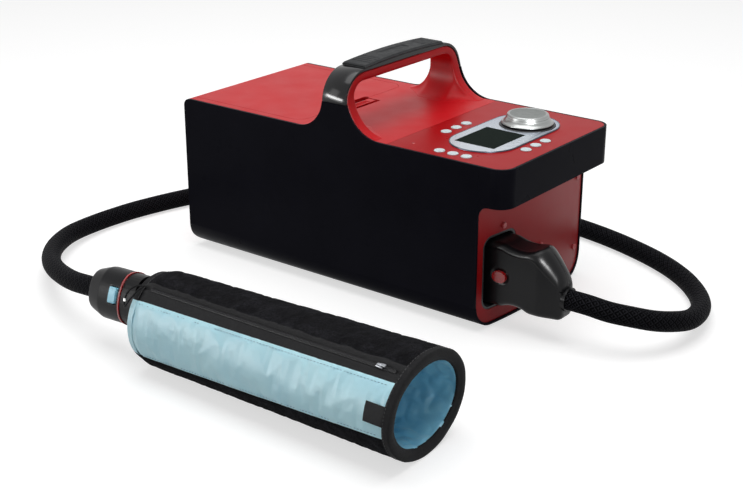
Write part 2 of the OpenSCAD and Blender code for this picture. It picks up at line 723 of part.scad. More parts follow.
module lid_latch() color([0.55, 0.08, 0.1]) {
    difference() {
        box(latch_x0 + seat, latch_x0 + seat + latch_l, -latch_w / 2, latch_w / 2,
            latch_floor + 0.2, deck_z - 0.4);
        along_z(deck_z - 1.2, deck_z) for (k = [0:2])
            box_2d(latch_x0 + 2.6 + k * 2.4, latch_x0 + 3.8 + k * 2.4, -14, 14);
    }
    box(stem_x, stem_x + stem_l, -stem_w / 2, stem_w / 2, deck_under - 2.4, latch_floor + 0.3);
    box(stem_x, stem_x + stem_l, -stem_w / 2 - 2.5, stem_w / 2 + 2.5,
        deck_under - 3.4, deck_under - 0.3);
}

// --- pump, compressor, valves and boards in the front bay
pump_x0 = tub_x1 + foam_t + 14;
pump_l = 58;
pump_z = tub_z + 26;
pump_r = 19;
pump_y = outlet_y;
rotor_r = 13;
rotor_x0 = pump_x0 + 4;
rotor_l = 10;
pump_shaft_d = 4;
module pump_housing() color([0.2, 0.2, 0.22]) {
    difference() {
        union() {
            rod_x(pump_x0, pump_x0 + pump_l, pump_y, pump_z, 2 * pump_r);
            rod_x(pump_x0 - 4, pump_x0, pump_y, pump_z, 14);
            rod_x(pump_x0 + pump_l, pump_x0 + pump_l + 4, pump_y, pump_z, 14);
        }
        rod_x(rotor_x0 - 1, rotor_x0 + rotor_l + 1, pump_y, pump_z, 2 * rotor_r + 2);
        rod_x(pump_x0 - 5, rotor_x0, pump_y, pump_z, 9);
        rod_x(rotor_x0 + rotor_l, rotor_x0 + rotor_l + 22, pump_y, pump_z,
            pump_shaft_d + 2 * run);
    }
    box(pump_x0 + 6, pump_x0 + pump_l - 2, pump_y - 22, pump_y + 22,
        pump_z - pump_r - 2, pump_z - pump_r + 1.5);
}
module pump_rotor() color([0.8, 0.5, 0.2]) {
    rod_x(rotor_x0, rotor_x0 + 2, pump_y, pump_z, 2 * rotor_r - 1);
    rod_x(rotor_x0, rotor_x0 + rotor_l, pump_y, pump_z, 9);
    for (k = [0:5]) translate([rotor_x0, pump_y, pump_z]) rotate([60 * k, 0, 0])
        translate([2, 4, -0.7]) cube([rotor_l - 2, rotor_r - 5, 1.4]);
    rod_x(rotor_x0 + rotor_l, rotor_x0 + rotor_l + 20, pump_y, pump_z, pump_shaft_d);
}
comp_z0 = shell_z + 15;
module air_compressor() color([0.35, 0.36, 0.38]) {
    box(-40, 42, 26, 74, comp_z0, comp_z0 + 10);
    rod_x(-38, 0, 50, comp_z0 + 30, 40);
    box(0, 36, 32, 68, comp_z0 + 10, comp_z0 + 52);
    rod_x(36, 44, 50, comp_z0 + 40, 8);
}
manifold_z0 = pocket_z0 + 6;
manifold_x0 = 92;
manifold_x1 = port_end - 3 - 6;
module valve_manifold() color([0.75, 0.75, 0.7]) {
    box(manifold_x0, manifold_x1, port_y - 17, port_y + 17, manifold_z0, manifold_z0 + 66);
    for (z = [manifold_z0 + 14, manifold_z0 + 54])
        along_y(port_y + 17, port_y + 43) translate([manifold_x0 + 14, z]) circle(d = 18);
}
tube_d = 12;
air_z = comp_z0 + 40;
air_x = manifold_x1 - 5;
module fluid_tubes() color([0.7, 0.75, 0.8]) {
    rod_x(tub_x1 + foam_t + 2, pump_x0 - 4, outlet_y, pump_z, tube_d);
    rod_x(pump_x0 + pump_l + 4, manifold_x0, pump_y, pump_z, tube_d);
    for (p = ports) rod_x(manifold_x1, port_end - 3, p[0], p[1], p[2] + 2);
    rod_x(44, air_x - 12, 50, air_z, 7);
    translate([air_x - 12, 38, air_z]) rotate_extrude(angle = 90)
        translate([12, 0]) circle(d = 7);
    along_y(port_y + 17, 38) translate([air_x, air_z]) circle(d = 7);
}
board_z = shell_z + 14;
module main_board() color([0.1, 0.35, 0.2]) {
    box(50, 150, 6, 84, board_z, board_z + board_t);
    box(112, 140, 20, 48, board_z + board_t, board_z + 14);
    box(60, 88, 60, 80, board_z + board_t, board_z + 22);
}

// --- machine end of the hose
conn_y0 = port_y - plug_w / 2;
conn_y1 = port_y + plug_w / 2;
conn_x0 = pocket_back + 4;            // rear face inside the pocket
conn_z0 = pocket_z0 + 6;              // underside
conn_top = pocket_z0 + pocket_h - 5;
tip_top = 64;                         // height of the tip's upper corner
neck_x = x1 - 8;                      // deepest point of the finger scoops
ridge_x = neck_x + 34;                // ridge in front of the upper scoop
scoop_r = 30;
// side view: two finger scoops behind a sloping nose
module connector_side_2d() difference() {
    polygon([[conn_x0, conn_z0], [plug_x1 - 6, conn_z0], [plug_x1, conn_z0 + 6],
        [plug_x1, tip_top], [ridge_x, conn_top], [conn_x0, conn_top]]);
    translate([neck_x + 12, conn_top + scoop_r - 6]) circle(scoop_r);
    translate([neck_x + 8, conn_z0 - scoop_r + 4]) circle(scoop_r);
    corner(conn_x0, conn_z0, 6, 1, 1);
    corner(conn_x0, conn_top, 6, 1, -1);
}
module connector_plan_2d() {
    nose = 4;
    polygon([[conn_x0, conn_y0], [plug_x1 - 24, conn_y0], [plug_x1, conn_y0 + nose],
        [plug_x1, conn_y1 - nose], [plug_x1 - 24, conn_y1], [conn_x0, conn_y1]]);
}
release_x = front_face + 16;          // middle of the red button
release_z = port_z;
release_l = 15;
release_h = 11;
release_out = 2.5;
release_travel = 2;
module release_2d(grow) {
    r = release_h / 2 + grow;
    half = (release_l - release_h) / 2;
    translate([release_x, release_z]) {
        box_2d(-half, half, -r, r);
        for (s = [-1, 1]) translate([s * half, 0]) circle(r);
    }
}
hose_z = conn_z0 + 20;                // height of the hose where it leaves
collar_in = 15;                       // length of a collar inside a connector
module machine_connector() color(black) difference() {
    intersection() {
        along_y(conn_y0, conn_y1) connector_side_2d();
        along_z(0, deck_z) connector_plan_2d();
        along_x(conn_x0, plug_x1)
            round_box_2d(conn_y0, conn_y1, conn_z0, conn_top, 10);
    }
    along_y(conn_y0 - cut, conn_y0 + 9) release_2d(seat);
    rod_x(plug_x1 - collar_in, plug_x1 + cut, port_y, hose_z, collar_d);
}
module hose_plug() color([0.5, 0.5, 0.52]) {
    along_x(pocket_back + 0.5, conn_x0) round_box_2d(conn_y0 + 2, conn_y1 - 2,
        conn_z0 + 3, conn_top - 3, 8);
    for (p = ports) rod_x(port_end + 1, pocket_back + 0.5, p[0], p[1], p[2]);
}
module connector_button() color([0.7, 0.06, 0.08]) {
    along_y(conn_y0 - release_out, conn_y0 + 5) release_2d(0);
}

// direction and place of the connector at the sleeve's end
conn_yaw = -7.5;
conn_pitch = -7;
conn_lean = -22;                      // the oval leans back, top away from the viewer
conn_origin = [-52, -329, 55.5];      // middle of the joint with the port
conn_dir = [cos(conn_pitch) * cos(conn_yaw), cos(conn_pitch) * sin(conn_yaw), -sin(conn_pitch)];

// --- hose: points on its centre line, from the machine to the sleeve
hose_points = [[278, -62, 45], [298, -58, 42], [316, -47, 38],
    [331, -30, 32], [341, -8, 26], [345, 17, 20], [342, 43, 16], [333, 70, 13],
    [318, 95, 11], [298, 118, 10], [272, 139, 10], [243, 156, 10], [208, 171, 10],
    [168, 184, 10], [120, 194, 10], [60, 199, 10], [0, 199, 10], [-60, 193, 10],
    [-120, 180, 10], [-174, 160, 10], [-220, 132, 10], [-255, 95, 10],
    [-281, 51, 10], [-300, 2, 10], [-314, -47, 10], [-322, -93, 10],
    [-322, -138, 11], [-312, -182, 14], [-290, -221, 18], [-260, -254, 23],
    [-224, -281, 29], [-187, -300, 35], [-152, -313, 41], [-130, -318.4, 45.2]];
hose_route = concat([[plug_x1 + collar_out, port_y, hose_z]], hose_points,
    [conn_origin - (oval_l + tail_l + collar_out) * conn_dir]);
function unit(v) = v / norm(v);
function hose_dir(i) = let (n = len(hose_route) - 1)
    i == 0 ? [1, 0, 0] : i == n ? conn_dir
    : unit(hose_route[i + 1] - hose_route[i - 1]);
hose_sides = 12;
function hose_ring(i) = let (
    t = hose_dir(i), side = unit(cross(t, [0, 0, 1])), up = cross(side, t))
    [for (k = [0:hose_sides - 1]) let (a = 360 * k / hose_sides)
        hose_route[i] + hose_d / 2 * (cos(a) * side + sin(a) * up)];
module hose() color([0.07, 0.07, 0.08]) {
    n = len(hose_route);
    m = hose_sides;
    polyhedron([for (i = [0:n - 1]) each hose_ring(i)], concat(
        [[for (k = [0:m - 1]) k]],
        [for (i = [0:n - 2], k = [0:m - 1]) let (a = i * m + k, b = i * m + (k + 1) % m)
            each [[a, a + m, b + m], [a, b + m, b]]],
        [[for (k = [m - 1:-1:0]) (n - 1) * m + k]]));
}

// --- sleeve end of the hose; its own frame has +X towards the sleeve
module at_connector() translate(conn_origin) rotate([0, conn_pitch, conn_yaw])
    rotate([conn_lean, 0, 0]) children();
function oval(a, b, n = 40) = [for (k = [0:n - 1]) let (
    c = cos(360 * k / n), s = sin(360 * k / n))
    [a * sign(c) * pow(abs(c), 0.86), b * sign(s) * pow(abs(s), 0.86)]];
module oval_bar(xa, xb, grow) along_x(xa, xb) polygon(oval(oval_a + grow, oval_b + grow));
tail_scale = [0.86, 0.8];
thumb_x = -9;         // middle of the blue button
thumb_l = 11;
thumb_w = 15;
thumb_out = 2;
module thumb_block(xa, xb, grow) box(thumb_x - thumb_l / 2 - grow, thumb_x + thumb_l / 2 + grow,
    xa, xb, -thumb_w / 2 - grow, thumb_w / 2 + grow);
pin_pitch = 22;       // spacing of the sleeve nozzles
sleeve_pins = [[0, -pin_pitch / 2, 8], [0, pin_pitch / 2, 8], [0, 0, 5]];
pin_l = 12;
module sleeve_connector() color(black) at_connector() {
    difference() {
        union() {
            oval_bar(-oval_l, 0, 0);
            translate([-oval_l, 0, 0]) rotate([90, 0, -90])
                linear_extrude(tail_l, slices = 2, scale = tail_scale)
                    polygon(oval(oval_a, oval_b));
        }
        thumb_block(-oval_a - cut, -oval_a + 8, seat);
        rod_x(-oval_l - tail_l - cut, -oval_l - tail_l + collar_in, 0, 0, collar_d);
    }
    for (p = sleeve_pins) rod_x(0, pin_l, p[0], p[1], p[2]);
}
module sleeve_button() color([0.45, 0.78, 0.9]) at_connector() intersection() {
    thumb_block(-oval_a - thumb_out, -oval_a + 4, 0);
    oval_bar(thumb_x - 10, thumb_x + 10, thumb_out);
}
ring_t = 2;
module connector_ring() color([0.75, 0.08, 0.1]) at_connector() difference() {
    oval_bar(0, ring_t, 0.4);
    for (p = sleeve_pins) rod_x(-cut, ring_t + cut, p[0], p[1], p[2] + 0.4);
}
module hose_collars() color([0.05, 0.05, 0.05]) {
    rod_x(plug_x1 - collar_in, plug_x1 + collar_out, port_y, hose_z, collar_d - 0.04);
    at_connector()
        rod_x(-oval_l - tail_l - collar_out, -oval_l - tail_l + collar_in, 0, 0, collar_d - 0.04);
}

// --- therapy sleeve; its own frame has +X along the tube from the hose end
sleeve_yaw = 2.2;
sleeve_origin = [-22, -327, sleeve_b + binding_t];
module at_sleeve() translate(sleeve_origin) rotate([0, 0, sleeve_yaw]) children();
function tube_outline(a, b, n = 48) = [for (k = [0:n - 1])
    [a * cos(360 * k / n), b * sin(360 * k / n)]];
function sleeve_a(x) = sleeve_a0 + (sleeve_a1 - sleeve_a0) * x / sleeve_l;
// a tapering tube core between two places, grown by the same amount all round
module sleeve_core(xa, xb, grow, n = 1) translate([xa, 0, 0]) rotate([90, 0, 90])
    linear_extrude(xb - xa, slices = n,
        scale = [(sleeve_a(xb) + grow) / (sleeve_a(xa) + grow), 1])
        polygon(tube_outline(sleeve_a(xa) + grow, sleeve_b + grow));
sleeve_slices = 5;
module sleeve_cover() color([0.62, 0.8, 0.88]) at_sleeve() difference() {
    sleeve_core(binding_t, sleeve_l - binding_t, 0, sleeve_slices);
    sleeve_core(0, sleeve_l, -cover_sheet, sleeve_slices);
}
module sleeve_bladder() color([0.55, 0.75, 0.85]) at_sleeve() difference() {
    sleeve_core(binding_t, sleeve_l - binding_t, -cover_sheet - 0.1, sleeve_slices);
    sleeve_core(0, sleeve_l, -cover_sheet - bladder_t, sleeve_slices);
}
// a hem that wraps one end: xa is its outer end, xb its edge on the cover
module end_binding(xa, xb) difference() {
    face = xa < xb ? xa + binding_t : xa - binding_t;
    sleeve_core(min(xa, xb), max(xa, xb), binding_t);
    sleeve_core(min(face, xb + (xb - face)), max(face, xb + (xb - face)), 0.1);
    sleeve_core(min(xa - cut, face + cut), max(xa + cut, face - cut), -cover_sheet - bladder_t);
}
module sleeve_bindings() color(black) at_sleeve() {
    end_binding(0, binding_w);
    end_binding(sleeve_l, sleeve_l - binding_w);
}
port_in = 34;         // length of the port inside the sleeve
port_step = 4.7;      // how much thinner it is there
module sleeve_port() color([0.08, 0.08, 0.09]) at_connector() difference() {
    union() {
        oval_bar(ring_t + seat, ring_t + seat + port_l, -0.5);
        oval_bar(ring_t + seat + port_l, ring_t + seat + port_l + port_in, -port_step);
    }
    for (p = sleeve_pins) rod_x(-cut, pin_l + 2, p[0], p[1], p[2] + 2 * run);
}
zip_angle = 121;      // place of the zip round the tube, from +Y over the top
zip_x = 262;          // middle of the slider when the zip is closed
function zip_point(x, lift) = [x, (sleeve_a(x) + lift) * cos(zip_angle),
    (sleeve_b + lift) * sin(zip_angle)];
zip_turn = atan2(sin(zip_angle) / sleeve_b, cos(zip_angle) / sleeve_a(zip_x));
zip_lean = atan2((sleeve_a1 - sleeve_a0) / sleeve_l * cos(zip_angle), 1);
module zip_slider() color([0.35, 0.36, 0.38]) at_sleeve() translate(zip_point(zip_x, 0))
    rotate([0, 0, zip_lean]) rotate([zip_turn - 90, 0, 0]) {
        along_z(0.6, 3.4) polygon([[-5, -3], [5, -4], [5, 4], [-5, 3]]);
        box(-2, 14, -1.6, 1.6, 3.4, 4.8);
    }

left_side_panel();
right_side_panel();
front_brow();
base_pan();
foot_ring();
deck_housing();
handle_core();
handle_cover();
grip_pad();
front_wall();
rear_wall();
wall_screws();
connector_socket();
power_inlet();
control_panel();
display_bezel();
lcd_window();
lcd_module();
button(0);  // button_1
button(1);  // button_2
button(2);  // button_3
button(3);  // button_4
button(4);  // button_5
button(5);  // button_6
button(6);  // button_7
button(7);  // button_8
button(8);  // button_9
knob_collar();
knob_shaft();
control_knob();
encoder();
control_board();
reservoir();
reservoir_insulation();
reservoir_strainer();
lid();
lid_liner();
lid_gasket();
lid_hinge_pin();
lid_latch();
pump_housing();
pump_rotor();
air_compressor();
valve_manifold();
fluid_tubes();
main_board();
hose_plug();
machine_connector();
connector_button();
hose_collars();
hose();
sleeve_connector();
connector_ring();
sleeve_button();
sleeve_port();
sleeve_cover();
sleeve_bladder();
sleeve_bindings();
zip_slider();
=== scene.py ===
import math

import bmesh
import bpy
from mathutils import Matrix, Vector, noise


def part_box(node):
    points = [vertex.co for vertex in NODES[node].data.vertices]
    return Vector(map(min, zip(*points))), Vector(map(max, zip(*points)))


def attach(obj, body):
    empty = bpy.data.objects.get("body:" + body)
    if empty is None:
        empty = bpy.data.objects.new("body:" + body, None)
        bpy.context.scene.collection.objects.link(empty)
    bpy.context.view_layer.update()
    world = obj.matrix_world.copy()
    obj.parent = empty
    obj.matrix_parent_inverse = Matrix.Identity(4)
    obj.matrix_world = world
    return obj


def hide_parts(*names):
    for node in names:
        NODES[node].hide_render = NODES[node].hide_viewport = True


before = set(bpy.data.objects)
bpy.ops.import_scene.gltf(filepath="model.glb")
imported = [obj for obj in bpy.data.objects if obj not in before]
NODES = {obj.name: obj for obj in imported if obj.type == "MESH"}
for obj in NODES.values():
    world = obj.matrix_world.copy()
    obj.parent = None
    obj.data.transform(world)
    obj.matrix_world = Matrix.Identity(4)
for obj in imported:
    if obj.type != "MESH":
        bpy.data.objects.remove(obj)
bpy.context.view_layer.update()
scene = bpy.context.scene
MM = 0.001
KNOB_X, KNOB_Y, KNOB_Z = 142, 40, 174.1  # mm, the knob's axis and its foot

# --- camera, fitted to the photograph: place in metres, angles in degrees, lens and sensor in mm
CAMERA_AT = (0.8554, -1.1367, 0.5815)
PITCH_DOWN, YAW = 21.79, 37.82
LENS, SENSOR_W = 67.98, 36
cam = bpy.data.objects.new("camera", bpy.data.cameras.new("camera"))
scene.collection.objects.link(cam)
cam.location = CAMERA_AT
cam.rotation_euler = (math.radians(90 - PITCH_DOWN), 0, math.radians(YAW))
cam.data.lens = LENS
cam.data.sensor_width = SENSOR_W
scene.camera = cam
scene.view_settings.view_transform = "Standard"


# --- small helpers
def V(*p):
    return Vector(p) * MM


def clamp(x, a=0.0, b=1.0):
    return max(a, min(b, x))


def ease(a, b, x):
    t = clamp((x - a) / (b - a))
    return t * t * (3 - 2 * t)


def rnd(x, y, z, scale=1.0):
    """Smooth repeatable noise between about -1 and 1."""
    return noise.noise(Vector((x * scale, y * scale, z * scale)))


def link(name, mesh):
    o = bpy.data.objects.new(name, mesh)
    scene.collection.objects.link(o)
    return o


def mesh_piece(name, verts, faces, mats, marks=None, uvs=None, smooth=True):
    """Vertices in metres; marks gives each face its material, uvs each face's corners."""
    me = bpy.data.meshes.new(name)
    me.from_pydata([tuple(v) for v in verts], [], faces)
    for m in mats if isinstance(mats, (list, tuple)) else [mats]:
        me.materials.append(m)
    if marks:
        me.polygons.foreach_set("material_index", marks)
    if uvs:
        layer = me.uv_layers.new(name="map")
        layer.data.foreach_set("uv", [c for f in uvs for uv in f for c in uv])
    me.polygons.foreach_set("use_smooth", [smooth] * len(me.polygons))
    me.validate()
    return link(name, me)


def grid_faces(nu, nv, wrap_u=False, wrap_v=False, flip=False):
    faces = []
    for i in range(nu if wrap_u else nu - 1):
        for j in range(nv if wrap_v else nv - 1):
            a, b = i * nv + j, ((i + 1) % nu) * nv + j
            c, d = ((i + 1) % nu) * nv + (j + 1) % nv, i * nv + (j + 1) % nv
            faces.append((a, d, c, b) if flip else (a, b, c, d))
    return faces


def spline(points, tan0=None, tan1=None, per=6):
    """A smooth curve through the points, with the given end directions."""
    p = [Vector(q) for q in points]
    n = len(p)
    t = [p[min(i + 1, n - 1)] - p[max(i - 1, 0)] for i in range(n)]
    for i in range(1, n - 1):
        a, b = (p[i] - p[i - 1]).length, (p[i + 1] - p[i]).length
        t[i] = ((p[i + 1] - p[i]) / b * a + (p[i] - p[i - 1]) / a * b) / (a + b)
    t[0] = Vector(tan0).normalized() if tan0 else t[0].normalized()
    t[-1] = Vector(tan1).normalized() if tan1 else t[-1].normalized()
    out = []
    for i in range(n - 1):
        d = (p[i + 1] - p[i]).length
        for k in range(per):
            s = k / per
            h = (2 * s**3 - 3 * s**2 + 1, s**3 - 2 * s**2 + s, -2 * s**3 + 3 * s**2, s**3 - s**2)
            out.append(p[i] * h[0] + t[i] * d * h[1] + p[i + 1] * h[2] + t[i + 1] * d * h[3])
    return out + [p[-1]]


def tube(name, path, radius, mat, sides, closed=False):
    """A tube along a path. The UV map holds the length and the way round, in metres."""
    n = len(path)
    dirs = []
    for i in range(n):
        a = path[(i - 1) % n if closed else max(i - 1, 0)]
        b = path[(i + 1) % n if closed else min(i + 1, n - 1)]
        dirs.append((b - a).normalized())
    up = Vector((0, 0, 1)) if abs(dirs[0].z) < 0.9 else Vector((1, 0, 0))
    verts, lengths, run = [], [], 0.0
    for i in range(n):
        up = (up - dirs[i] * up.dot(dirs[i])).normalized()
        side = dirs[i].cross(up)
        for k in range(sides):
            a = 2 * math.pi * k / sides
            verts.append(path[i] + (side * math.cos(a) + up * math.sin(a)) * radius)
        lengths.append(run)
        if i < n - 1:
            run += (path[i + 1] - path[i]).length
    faces = grid_faces(n, sides, wrap_u=closed, wrap_v=True, flip=True)
    uvs = []
    round_it = 2 * math.pi * radius
    for f in faces:
        i, k = f[0] // sides, f[0] % sides
        u0, u1 = lengths[i], lengths[i + 1] if i + 1 < n else run
        v0, v1 = k / sides * round_it, (k + 1) / sides * round_it
        uvs.append([(u0, v0), (u0, v1), (u1, v1), (u1, v0)])
    if not closed:
        faces.append(tuple(range(sides)))
        faces.append(tuple((n - 1) * sides + k for k in reversed(range(sides))))
        uvs += [[(0, 0)] * sides, [(run, 0)] * sides]
    return mesh_piece(name, verts, faces, mat, uvs=uvs)


def lathe(name, outline, centre, mat, sides):
    """An outline of (radius, height) pairs in mm, from foot to top, turned round an upright axis."""
    turns = [2 * math.pi * k / sides for k in range(sides)]
    verts = [V(centre[0] + r * math.cos(a), centre[1] + r * math.sin(a), z) for r,
             z in outline for a in turns]
    faces = grid_faces(len(outline), sides, wrap_v=True, flip=True)
    verts.append(V(centre[0], centre[1], outline[-1][1]))
    last = (len(outline) - 1) * sides
    faces += [(last + k, last + (k + 1) % sides, len(verts) - 1) for k in range(sides)]
    return mesh_piece(name, verts, faces, mat)


# --- materials: grain and mottling come from noise in object space
class Nodes:
    def __init__(self, name):
        self.m = bpy.data.materials.new(name)
        self.m.use_nodes = True
        self.t = self.m.node_tree
        self.p = self.t.nodes["Principled BSDF"]
        self.c = self.t.nodes.new("ShaderNodeTexCoord")

    def add(self, kind, **values):
        n = self.t.nodes.new("ShaderNode" + kind)
        for k, v in values.items():
            if k in n.inputs:
                n.inputs[k].default_value = v
            else:
                setattr(n, k, v)
        return n

    def wire(self, a, b):
        self.t.links.new(a, b)

    def set(self, name, x):
        """Gives one of the shader's inputs a plain value or a socket."""
        if hasattr(x, "is_output"):
            self.wire(x, self.p.inputs[name])
        else:
            self.p.inputs[name].default_value = x

    def axes(self, coords="Object"):
        """The three coordinates, each as a socket."""
        n = self.add("SeparateXYZ")
        self.wire(self.c.outputs[coords], n.inputs[0])
        return n.outputs

    def noise(self, scale, detail=4, rough=0.5, stretch=None):
        n = self.add("TexNoise", Scale=scale, Detail=detail, Roughness=rough)
        src = self.c.outputs["Object"]
        if stretch:
            mp = self.add("Mapping")
            mp.inputs["Scale"].default_value = stretch
            self.wire(src, mp.inputs[0])
            src = mp.outputs[0]
        self.wire(src, n.inputs["Vector"])
        return n.outputs["Fac"]

    def math(self, op, a, b=None, c=None, clampit=False):
        n = self.t.nodes.new("ShaderNodeMath")
        n.operation = op
        n.use_clamp = clampit
        for i, x in enumerate((a, b, c)):
            if x is None:
                continue
            if isinstance(x, (int, float)):
                n.inputs[i].default_value = x
            else:
                self.wire(x, n.inputs[i])
        return n.outputs[0]

    def ramp(self, fac, stops):
        n = self.t.nodes.new("ShaderNodeValToRGB")
        e = n.color_ramp.elements
        e[0].position, e[0].color = stops[0][0], (*stops[0][1], 1)
        e[1].position, e[1].color = stops[-1][0], (*stops[-1][1], 1)
        for pos, col in stops[1:-1]:
            x = e.new(pos)
            x.color = (*col, 1)
        self.wire(fac, n.inputs[0])
        return n.outputs[0]

    def span(self, fac, a, b, lo=0.3, hi=0.7):
        n = self.add("MapRange")
        for i, x in zip((1, 2, 3, 4), (lo, hi, a, b)):
            n.inputs[i].default_value = x
        self.wire(fac, n.inputs[0])
        return n.outputs[0]

    def bump(self, height, strength, distance, before=None):
        n = self.add("Bump", Strength=strength, Distance=distance)
        self.wire(height, n.inputs["Height"])
        if before:
            self.wire(before, n.inputs["Normal"])
        return n.outputs[0]


def lin(c):
    """sRGB 0-255 to the linear numbers that the shader takes."""
    return tuple(x / 255 / 12.92 if x / 255 <= 0.04045 else ((x / 255 + 0.055) / 1.055) ** 2.4 for x in c)


def tint(c, k):
    return tuple(clamp(x * k) for x in c)


def finish_of(name, rgb, rough=0.4, vary=0.1, mottle=25, grain=1400, grain_depth=0.00003, strength=0.15,
              spec=0.5, metal=0.0, coat=0.0, sheen=0.0, stretch=None, rough_vary=0.05):
    n = Nodes(name)
    base = lin(rgb)
    blotch = n.noise(mottle, 5, 0.55)
    n.set("Base Color", n.ramp(blotch, [(0.3, tint(base, 1 - vary)), (0.7, tint(base, 1 + vary))]))
    fine = n.noise(grain, 3, 0.6, stretch)
    n.set("Roughness", n.span(n.noise(mottle * 3, 3), rough - rough_vary, rough + rough_vary))
    n.set("Normal", n.bump(fine, strength, grain_depth))
    n.set("Metallic", metal)
    n.set("Specular IOR Level", spec)
    n.set("Coat Weight", coat)
    n.set("Coat Roughness", 0.12)
    n.set("Sheen Weight", sheen)
    return n.m


M = {
    "shell": finish_of("shell black", (23, 23, 30), 0.30, 0.12, 14, 2600, 0.00002, 0.10, spec=0.012,
            rough_vary=0.03),
    "cover": finish_of("cover black", (11, 11, 14), 0.16, 0.12, 14, 2600, 0.00002, 0.06, spec=0.32,
            rough_vary=0.03),
    "red": finish_of("deck red", (190, 9, 20), 0.42, 0.04, 12, 2200, 0.00003, 0.16, spec=0.15,
            rough_vary=0.04),
    "panel_red": finish_of("panel red", (164, 4, 12), 0.30, 0.03, 12, 1800, 0.00002, 0.10, spec=0.05,
            rough_vary=0.03),
    "steel": finish_of("steel", (170, 170, 168), 0.28, 0.06, 60, 1200, 0.00002, 0.2, metal=1.0,
            stretch=(40, 1, 1)),
    "rubber": finish_of("grip rubber", (26, 28, 30), 0.62, 0.18, 60, 900, 0.0002, 0.45, spec=0.2,
            rough_vary=0.08),
    "ring": finish_of("foot rubber", (22, 22, 23), 0.8, 0.15, 60, 700, 0.0002, 0.4, spec=0.3),
    "inner_black": finish_of("inner black", (26, 26, 29), 0.5, 0.12, 40, 900, 0.0001, 0.2, spec=0.4),
    "inner_white": finish_of("inner white", (214, 217, 218), 0.35, 0.03, 30, 900, 0.00005, 0.12),
    "foam": finish_of("foam", (205, 200, 184), 0.9, 0.08, 90, 600, 0.0006, 0.6, spec=0.2),
    "board": finish_of("board green", (22, 84, 52), 0.35, 0.2, 300, 1500, 0.00006, 0.25),
    "impeller": finish_of("impeller", (190, 128, 60), 0.4, 0.06, 60, 900, 0.00005, 0.15),
    "clear": finish_of("clear tube", (176, 188, 196), 0.18, 0.05, 60, 900, 0.00003, 0.1, coat=0.4),
    "conn": finish_of("connector black", (10, 10, 13), 0.31, 0.10, 30, 1900, 0.00003, 0.10, spec=0.2,
            rough_vary=0.03),
    "hand_conn": finish_of("hand connector black", (9, 9, 12), 0.34, 0.10, 30, 1900, 0.00004, 0.12, spec=0.1,
            rough_vary=0.04),
    # painted highlight: the wall screws are a paler pink red than the wall, standing in for the glint on
    # their heads
    "screw_red_painted_highlight": finish_of("screw red painted highlight", (206, 84, 88), 0.35, 0.06, 60, 1500, 0.00003, 0.1, spec=0.4),
    "release_red": finish_of("release red", (170, 12, 16), 0.22, 0.05, 60, 1500, 0.00003, 0.1, spec=0.55,
            coat=0.3),
    "release_blue": finish_of("release blue", (148, 222, 246), 0.3, 0.05, 60, 1500, 0.00003, 0.1, coat=0.2),
    "binding": finish_of("edge binding", (19, 19, 21), 0.85, 0.2, 120, 1400, 0.0003, 0.6, spec=0.12,
            sheen=0.04),
    "tape": finish_of("zip tape", (17, 17, 19), 0.7, 0.2, 120, 1500, 0.0003, 0.6, spec=0.15,
            stretch=(1, 6, 1)),
    "coil": finish_of("zip coil", (20, 20, 23), 0.4, 0.1, 200, 1200, 0.0001, 0.3, spec=0.2),
    "slider": finish_of("zip slider", (118, 120, 124), 0.3, 0.15, 200, 1500, 0.00005, 0.2, metal=0.7),
    "thread": finish_of("thread", (30, 30, 33), 0.7, 0.2, 300, 2000, 0.0001, 0.4),
    "pale_thread": finish_of("pale thread", (128, 170, 188), 0.7, 0.12, 300, 2000, 0.0001, 0.4),
}


def wall_red_painted_light():
    """Front and rear wall: satin red with painted light: painted shade darkens it towards its middle height,
    and a painted pale reflection lightens it towards its top and, less, its foot.
    """
    n = Nodes("wall red with painted light")
    sep = n.axes()
    height = n.math("DIVIDE", sep[2], 0.135, clampit=True)
    wob = n.math("MULTIPLY_ADD", n.noise(9, 3), 0.06, -0.03)
    # painted light: the ramp over height is painted shade at middle height and a painted pale reflection at
    # the top and foot
    col = n.ramp(n.math("ADD", height, wob), [
        (0.0, lin((150, 18, 24))), (0.22, lin((158, 20, 26))), (0.45, lin((156, 3, 8))),
        (0.7, lin((172, 30, 34))), (1.0, lin((196, 70, 72)))])
    n.set("Base Color", col)
    n.set("Roughness", n.span(n.noise(30, 3), 0.34, 0.42))
    n.set("Normal", n.bump(n.noise(2200, 3), 0.16, 0.00003))
    n.set("Specular IOR Level", 0.15)
    return n.m


def brushed():
    """Spun aluminium: fine rings round the knob's axis."""
    n = Nodes("brushed metal")
    mp = n.add("Mapping")
    mp.inputs["Location"].default_value = (-KNOB_X * MM, -KNOB_Y * MM, 0)
    n.wire(n.c.outputs["Object"], mp.inputs[0])
    sep = n.add("SeparateXYZ")
    n.wire(mp.outputs[0], sep.inputs[0])
    r = n.math("SQRT", n.math("ADD", n.math("POWER", sep.outputs[0], 2), n.math("POWER", sep.outputs[1], 2)))
    comb = n.add("CombineXYZ")
    n.wire(n.math("MULTIPLY", r, 1800), comb.inputs[0])
    n.wire(n.math("MULTIPLY", sep.outputs[2], 1500), comb.inputs[1])
    tex = n.add("TexNoise", Scale=1.0, Detail=3)
    n.wire(comb.outputs[0], tex.inputs["Vector"])
    n.set("Base Color", n.ramp(tex.outputs["Fac"], [(0.3, lin((136, 138, 137))),
            (0.7, lin((160, 163, 162)))]))
    n.set("Roughness", n.span(tex.outputs["Fac"], 0.26, 0.34))
    n.set("Normal", n.bump(tex.outputs["Fac"], 0.10, 0.00002))
    n.set("Metallic", 1.0)
    return n.m


